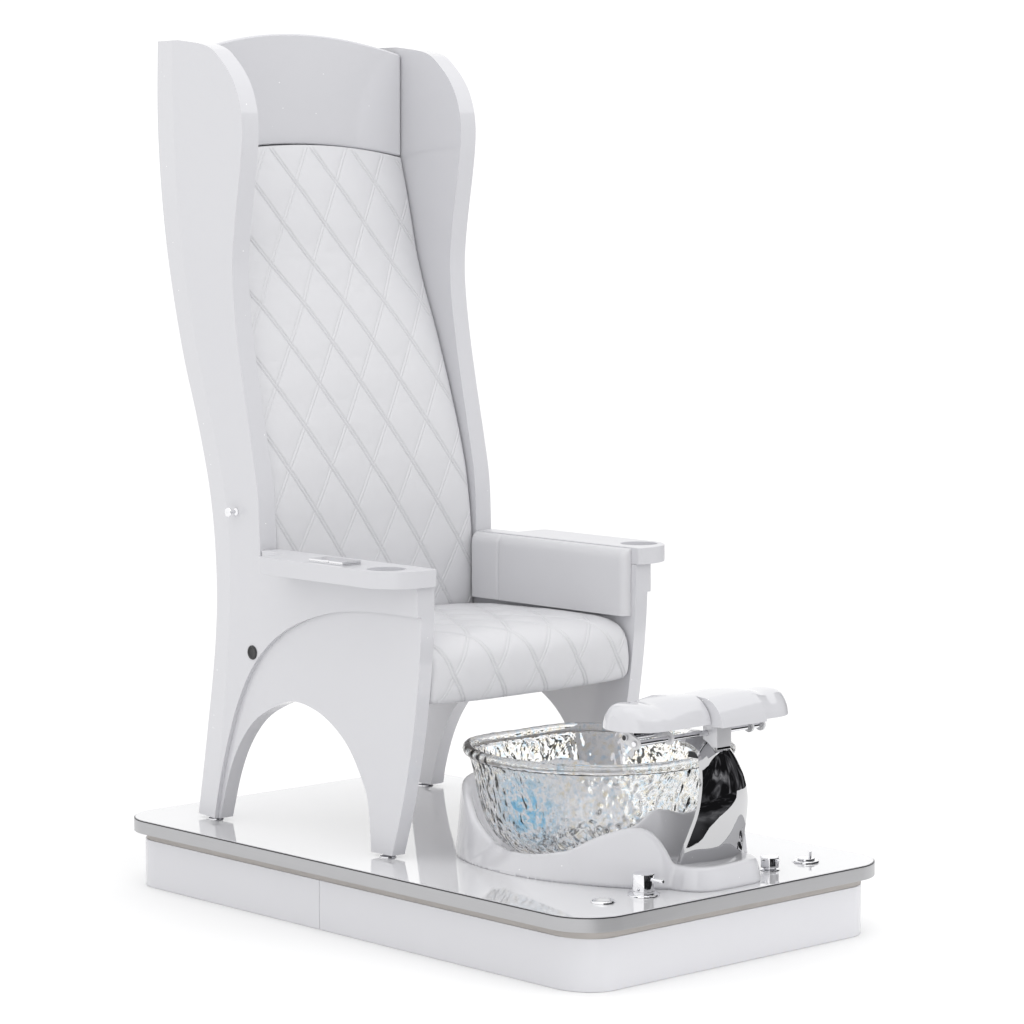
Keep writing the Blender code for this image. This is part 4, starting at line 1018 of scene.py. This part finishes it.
def scaled(point, scale, offset=0.0):
    dx, dy = point[0], point[1] - BOWL_Y
    factor = scale + offset / math.hypot(dx, dy)
    return dx * factor, BOWL_Y + dy * factor


def hammered(point, seed):
    """Depth of the hammered dimples, broken up so that no two are alike."""
    p = Vector(point)
    drift = Vector([noise.noise(p * 21 + seed * axis) for axis in Matrix.Identity(3)])
    p = p + drift * 0.013
    near = noise.voronoi(p * Vector((1, 1, 0.7)) * 44 + Vector((seed, seed, 0)))[0]
    ridge = min(near[1] - near[0], 0.9)
    return 0.0031 * (0.45 - ridge) + 0.0011 * noise.noise(p * Vector((1, 1, 0.6)) * 120)


def build_bowl():
    loop = closed_outline(BOWL_HALF, 44)
    profile = flow(BOWL_SCALE, 14)

    def wall(z, scale, offset, seed, sign):
        ring = []
        fade = clamp((z - BOWL_FLOOR) / 0.010) * clamp((0.381 - z) / 0.012)
        for point in loop:
            x, y = scaled(point, scale, offset)
            dent = hammered((x, y, z), seed) * fade
            ring.append((*scaled(point, scale, offset + sign * dent), z))
        return ring

    sections = [wall(z, scale, 0, 3.0, 1) for z, scale in profile]
    bead = []
    for k in range(15):
        angle = math.radians(-62 + 300 * k / 14)
        bead.append((-0.0108 + 0.0118 * math.cos(angle), 0.3844 + 0.0108 * math.sin(angle)))
    for inset, z in bead:
        ring = []
        for point in loop:
            ripple = 0.0012 * noise.noise(Vector((*point, z)) * 58)
            ring.append((*scaled(point, 1, inset + ripple), z + ripple * 0.4))
        sections.append(ring)
    floor = BOWL_FLOOR + WALL
    inside = [row for row in profile[::-1] if row[0] > floor + 0.010]
    sections += [wall(z, scale, -WALL, 11.0, -1) for z, scale in inside]
    sections += [[(*scaled(point, scale, -WALL), z) for point in loop]
                 for scale, z in ((0.640, floor + 0.004), (0.590, floor), (0.30, floor))]
    bowl = loft("glass_bowl", sections)
    bore(bowl, (0, DRAIN_Y, BOWL_FLOOR), 0.0225, 0.05, -0.05)
    place(shade(bowl, 50), "glass", "glass_bowl")
    bowl.visible_shadow = bowl.visible_diffuse = False
    seat = [[scaled(point, scale) for point in closed_outline(BOWL_HALF, 8)]
            for scale in (0.50, 0.455)]
    slab("bowl_seat_ring", "rubber", seat, DECK, BOWL_FLOOR - GAP)


def between(start, end, share):
    return tuple(a + (b - a) * share for a, b in zip(start, end))


def cradle_section(rim, base):
    """Slice of the cradle wall: up the outside, over the crest, down beside the glass."""
    low = DECK
    scoop = clamp((0.150 - abs(rim[0])) / 0.055) if rim[1] < -0.50 else 0
    height = interpolate(LIP_HEIGHT, rim[1])

    def beside(z, wide, tight):
        scale = max(interpolate(BOWL_SCALE, z), 0.66)
        return (*scaled(rim, scale, wide + (tight - wide) * scoop), z)

    shoulder = beside(height - 0.006, 0.035, 0.026)
    foot = (base[0] * 0.99, base[1] + 0.006, 0.202)
    shoulder = between(shoulder, foot, scoop)
    waist = between((*base, low), shoulder, 0.55)
    section = [(*base, low), waist, shoulder, beside(height - 0.0015, 0.032, 0.015),
               beside(height, 0.027, 0.011), beside(height - 0.003, 0.022, 0.008)]
    section += [beside(height + (low - height) * share, 0.018, 0.0065)
                for share in (0.08, 0.22, 0.36, 0.50, 0.66, 0.82, 1.0)]
    return section


def cradle_shoulder(side):
    """Hump beside the spout, running down from the lip to the tongue."""
    path = flow([(0.214, -0.405, 0.190), (0.203, -0.450, 0.214), (0.190, -0.500, 0.243),
                 (0.168, -0.543, 0.263), (0.145, -0.578, 0.273), (0.126, -0.603, 0.266),
                 (0.111, -0.625, 0.240), (0.101, -0.640, 0.208), (0.098, -0.652, 0.186)], 4)
    sections = []
    for k, (x, y, z) in enumerate(path):
        ahead, behind = path[min(k + 1, len(path) - 1)], path[max(k - 1, 0)]
        along = Vector((ahead[0] - behind[0], ahead[1] - behind[1])).normalized()
        out = Vector((-along.y, along.x))
        if out.x < 0:
            out = -out
        top, foot = 0.010, 0.010 + (z - 0.152) * 0.12
        outline = [(foot, 0.1535), (top, z - 0.008), (top * 0.55, z - 0.001), (0, z),
                   (-top * 0.5, z - 0.002), (-top * 0.8, z - 0.009), (-0.012, 0.1535)]
        sections.append([(side * (x + out.x * d), y + out.y * d, h) for d, h in outline])
    return loft("cradle_shoulder", sections)


def build_cradle():
    rims, bases = closed_outline(BOWL_HALF, 8), closed_outline(CRADLE_HALF, 8)
    cradle = loft("bowl_cradle", [cradle_section(a, b) for a, b in zip(rims, bases)],
                  ring=True)
    sections = []
    for inset, z in ((0, DECK), (0.009, 0.194), (0.012, 0.199), (0.017, 0.200)):
        half, r = 0.112 - inset, 0.068 - inset
        loop = rounded_rectangle(-half, half, -0.722 + inset, -0.585, (r, r, 0, 0), 10)
        sections.append([(x, y, z) for x, y in loop])
    combine(cradle, loft("cradle_tongue", sections), "UNION")
    for side, _ in SIDES:
        combine(cradle, cradle_shoulder(side), "UNION")
    modify(cradle, "REMESH", mode="VOXEL", voxel_size=0.0030)
    modify(cradle, "SMOOTH", factor=0.5, iterations=18)
    clip_floor(cradle, DECK)
    place(shade(cradle, 180), "gelcoat", "bowl_cradle")


def clip_floor(obj, level):
    """Sit the smoothed underside flat on the platform."""
    for vertex in obj.data.vertices:
        if vertex.co.z < level + 0.0035:
            vertex.co.z = level


def build_bowl_fittings():
    lip = BOWL_FLOOR + WALL + GAP
    drain, jet = (0, DRAIN_Y, lip), (0, JET_Y, lip)
    part("drain_strainer", "chrome", drain,
         [(16, 3), (26, 3), (29.5, 1.8), (31, 0), (22, 0), (22, -64.3), (16, -64.3)],
         closed=True)
    part("drain_stopper", "chrome", drain,
         [(0, 7), (16, 6.8), (20.5, 6.2), (22, 5), (22, 3.6), (4, 3.6), (4, -36.3),
          (0, -36.3)], body="stopper")
    part("jet_cover", "white_plastic", jet,
         [(8, 20), (15, 19.3), (22, 17.8), (28, 14.5), (32, 10), (34.8, 4.5), (36, 0),
          (31, 0), (30, 4), (28, 8), (24.5, 12), (19, 15), (8, 16.5)], closed=True)
    vanes = []
    for k in range(5):
        angle = math.radians(72 * k)
        vane = block("vane", (-0.0080, -0.0010, -0.0035), (0.0080, 0.0010, 0.0035))
        vane.data.transform(Matrix.Translation((0.0125 * math.cos(angle),
                                                JET_Y + 0.0125 * math.sin(angle),
                                                lip + 0.0050))
                            @ Matrix.Rotation(angle, 4, "Z"))
        vanes.append(vane)
    part("jet_impeller", "white_plastic", jet,
         [(0, 12), (5.2, 11.8), (6.2, 10.5), (7, 4), (25, 3), (25, 0.5), (0, 0.5)],
         body="impeller", fused=vanes)


# ------------------------------------------------------------------ footrest tower
TOWER_PATH = [              # (Y, Z, half width) of the shell's side edge, foot to spout lip
    (-0.650, 0.2003, 0.0880), (-0.6595, 0.229, 0.0838), (-0.670, 0.260, 0.0782),
    (-0.681, 0.296, 0.0716), (-0.6855, 0.329, 0.0668), (-0.682, 0.366, 0.0590),
    (-0.670, 0.402, 0.0495), (-0.6585, 0.419, 0.0430), (-0.640, 0.430, 0.0410),
    (-0.619, 0.4355, 0.0400), (-0.600, 0.4355, 0.0400)]
CROSS_BAR = (-0.654, 0.4565)
PIVOT = (-0.630, 0.4665)


def build_tower():
    """Chrome waterfall shell with rolled edges, and the neck that carries the pads."""
    path = flow(TOWER_PATH, 6)
    sections = []
    for i, (y, z, half) in enumerate(path):
        before, after = path[max(i - 1, 0)], path[min(i + 1, len(path) - 1)]
        along = Vector((after[0] - before[0], after[1] - before[1])).normalized()
        out = Vector((-1, 0)) if i == 0 else Vector((-along.y, along.x))
        outer, inner = [], []
        for k in range(33):
            share = k / 16 - 1
            crown = 0.020 * (1 - share * share)
            for row, depth in ((outer, crown), (inner, crown - 0.009)):
                row.append((share * half, y + out.x * depth, z + out.y * depth))
        sections.append(outer + inner[::-1])
    shell = round_edges(loft("tower_shell", sections), 0.0022, 4, 50)
    neck = block("neck", (-0.020, -0.684, 0.424), (0.020, -0.645, 0.4802))
    combine(shell, round_edges(neck, 0.0015, 3), "UNION")
    bore(shell, (0, *CROSS_BAR), 0.0064, axis="X")
    place(shade(shell, 30), "chrome_shell", "tower_shell", slot="chrome")
    plan = rounded_rectangle(-0.0206, 0.0206, -0.6846, -0.6444, (0.0015,) * 4, 3)
    sleeve = outline_solid("neck_sleeve", [plan], 0.4300, 0.4801, "XY")
    bore(sleeve, (0, *CROSS_BAR), 0.0064, axis="X")
    place(shade(sleeve), "neck_chrome", slot="chrome")


def link_plate(name, x):
    loop = capsule(PIVOT, CROSS_BAR, 0.012)
    holes = [circle(*PIVOT, 0.0056, 32), circle(*CROSS_BAR, 0.0064, 32)]
    slab(name, "white_plastic", [loop, *holes], x - 0.0025, x + 0.0025, 0.0006, "YZ")


SIDE_PADS = {               # side, link plate centres and pad span, measured out from X = 0
    "right": (-1, (0.125, 0.2175), (0.065, 0.263)),
    "left": (1, (0.104, 0.137), (0.065, 0.201)),
}
CREST_RIGHT = [(0, 0.539), (0.16, 0.5406), (0.31, 0.541), (0.455, 0.537), (0.58, 0.5315),
               (0.70, 0.5345), (0.86, 0.5355), (0.95, 0.529), (1, 0.514)]
CREST_LEFT = [(0, 0.5340), (0.20, 0.5335), (0.40, 0.5275), (0.57, 0.5275), (0.77, 0.528),
              (0.90, 0.523), (1, 0.511)]
CREST_CENTRE = [(0, 0.5365), (0.25, 0.539), (0.55, 0.541), (0.80, 0.5410), (1, 0.5395)]
PAD_PROFILE = [(0, 0), (0.001, 0.12), (0.004, 0.33), (0.0125, 0.58), (0.028, 0.84),
               (0.045, 0.97)]   # (distance in from the edge, share of the height)


def footrest_pad(name, span, front, rear, low, crest, body, end_radius=0.0):
    """Hard moulded foot pad: crowned ridge along X and, at a free end, a rounded plan."""
    profile = flow(PAD_PROFILE, 4)
    ridge = flow(crest, 6)
    inner, outer = span
    half_depth, middle = (rear - front) / 2, (front + rear) / 2
    shares = [0.5 - 0.5 * math.cos(math.pi * k / 48) for k in range(49)]
    sections = []
    for share in shares:
        x = inner + (outer - inner) * share
        reach = half_depth
        if end_radius:
            nose = max(0.0, abs(x) - (abs(outer) - end_radius)) * 0.985
            reach -= end_radius - math.sqrt(end_radius ** 2 - nose ** 2)
        squeeze = reach / half_depth
        rise = interpolate(ridge, share) - low
        near = [(x, middle - reach + inset * squeeze, low + rise * height)
                for inset, height in profile]
        near += [(x, middle - (reach - 0.045 * squeeze) * t, low + rise * height)
                 for t, height in ((0.66, 0.986), (0.33, 0.996))]
        far = [(x, 2 * middle - y, z) for _, y, z in near[::-1]]
        sections.append(near + [(x, middle, low + rise)] + far)
    pad = loft(name, sections)
    place(shade(round_edges(pad, 0.0040, 4, 50), 50), "gelcoat", name, body)


def build_footrest():
    part("cross_bar", "chrome", (0, *CROSS_BAR),
         [(0, 143), (5, 143), (6, 142), (6, -223), (5, -224), (0, -224)], "X")
    footrest_pad("footrest_pad_center", (-0.0635, 0.0635), -0.741, -0.575, 0.4805,
                 CREST_CENTRE, ROOT)
    clear = 0.0028              # space between a link plate and the bracket's shoulder
    for word, (side, plates, span) in SIDE_PADS.items():
        body = "footrest_" + word
        inner, outer = side * plates[0], side * plates[1]
        link_plate("link_plate_inner_" + word, inner)
        link_plate("link_plate_outer_" + word, outer)
        shoulder = (plates[1] - plates[0]) / 2 - clear
        tail = (plates[1] - plates[0]) / 2 + clear + 0.005
        middle = (inner + outer) / 2
        half = [(0, tail), (0.0042, tail), (0.005, tail - 0.0008), (0.005, shoulder),
                (0.0074, shoulder), (0.008, shoulder - 0.0006)]
        bracket = turned("pad_bracket_" + word, half + [(r, -x) for r, x in half[::-1]],
                         (middle, *PIVOT), "X")
        for end in (-1, 1):
            cap = turned("pin_cap_%s_%d" % (word, end),
                         in_metres([(0, 1.4), (3.6, 1.4), (5.2, 0.6), (5.2, 0), (0, 0)]),
                         (middle + end * (tail + 0.0002), *PIVOT),
                         "X" if end > 0 else "-X", steps=32)
            place(shade(cap), "black", body=body, slot="black")
        low, high = sorted((inner, outer))
        saddle = block("saddle", (low + clear, PIVOT[0] - 0.016, PIVOT[1] + 0.004),
                       (high - clear, PIVOT[0] + 0.016, 0.4842))
        combine(bracket, round_edges(saddle, 0.0012, 2), "UNION")
        place(shade(bracket), "chrome", "pad_bracket_" + word, body)
        low_edge, crest = (0.4845, CREST_RIGHT) if side < 0 else (0.4785, CREST_LEFT)
        footrest_pad("footrest_pad_" + word, (side * span[0], side * span[1]), -0.711,
                     -0.566, low_edge, crest, body, 0.0725)


# ------------------------------------------------------------------ deck controls
def shank(radius, length=70):
    return [(radius, 0), (radius, -length), (0, -length)]


def rod(profile, spot, axis="Z"):
    return turned("rod", in_metres(profile), spot, axis, steps=32)


def build_controls():
    tap, small_tap, button, knob = (
        (*place_xy, DECK) for place_xy in (TAP_RIGHT, TAP_LEFT, BUTTON, KNOB))
    part("tap_body_right", "chrome", tap,
         [(0, 9), (22.5, 9), (22.5, 4.8), (26.2, 4.2), (30.5, 3.2), (31.8, 1.8), (32, 0),
          *shank(12)])
    lever = rod([(0, 54), (2.8, 54), (3.6, 53.2), (3.8, 51.6), (3.8, 10), (0, 10)],
                (*TAP_RIGHT, DECK + 0.034), "-Y")
    part("tap_lever_right", "chrome", tap,
         [(0, 44), (20, 44), (21.7, 43.7), (22.7, 42.8), (23, 41.2), (23, 10.2),
          (22.2, 9.3), (0, 9.3)], body="tap_right", fused=[lever])
    part("tap_body_left", "chrome", small_tap,
         [(0, 5.5), (13, 5.5), (13, 2.4), (18.6, 1.9), (19.8, 1), (20, 0), *shank(12)])
    cross = [rod([(0, 25), (2.2, 25), (3, 24), (3, -24), (2.2, -25), (0, -25)],
                 (*TAP_LEFT, DECK + 0.0225), axis) for axis in ("X", "-Y")]
    part("tap_handle_left", "chrome", small_tap,
         [(0, 27), (16, 27), (17.8, 26.4), (18.5, 25), (18.5, 6.6), (17.8, 5.8), (0, 5.8)],
         body="tap_left", fused=cross)
    part("air_button_ring", "chrome", button,
         [(14.5, 4), (16, 4.7), (18, 5), (20.8, 4.6), (22.8, 3.6), (23.8, 2), (24, 0),
          (20, 0), (20, -35), (14.5, -35)], closed=True)
    part("air_button", "white_plastic", button,
         [(0, 6.2), (7, 6.1), (11.8, 5.6), (13.6, 4.8), (14, 3.6), (14, -8), (0, -8)],
         body="button")
    part("drain_knob_base", "chrome", knob,
         [(0, 4), (23.5, 4), (25.8, 3.2), (26.8, 1.8), (27, 0), *shank(10, 60)])
    pin = rod([(0, 20), (2, 20), (2.8, 19.2), (2.8, 5), (0, 5)],
              (KNOB[0] + 0.013, KNOB[1], DECK))
    part("drain_knob", "chrome", knob,
         [(0, 8.5), (16.2, 8.5), (17.8, 8.1), (18.5, 7), (18.5, 4.8), (18, 4.3), (0, 4.3)],
         body="drain_control", fused=[pin])


def finish_kept_nodes():
    """Better finishes for the frame's own hidden and half-hidden pieces."""
    slots = {row["node"]: row["material_slot"] for row in frame["record"]["subparts"]}
    for name, obj in frame["nodes"].items():
        if not obj.hide_render:
            obj.data.materials.clear()
            obj.data.materials.append(MATERIALS[slots[name]])


build_materials()
build_camera()
build_studio()
build_platform()
build_shell()
build_upholstery()
build_arms()
build_hardware()
build_bowl()
build_cradle()
build_bowl_fittings()
build_tower()
build_footrest()
build_controls()
finish_kept_nodes()
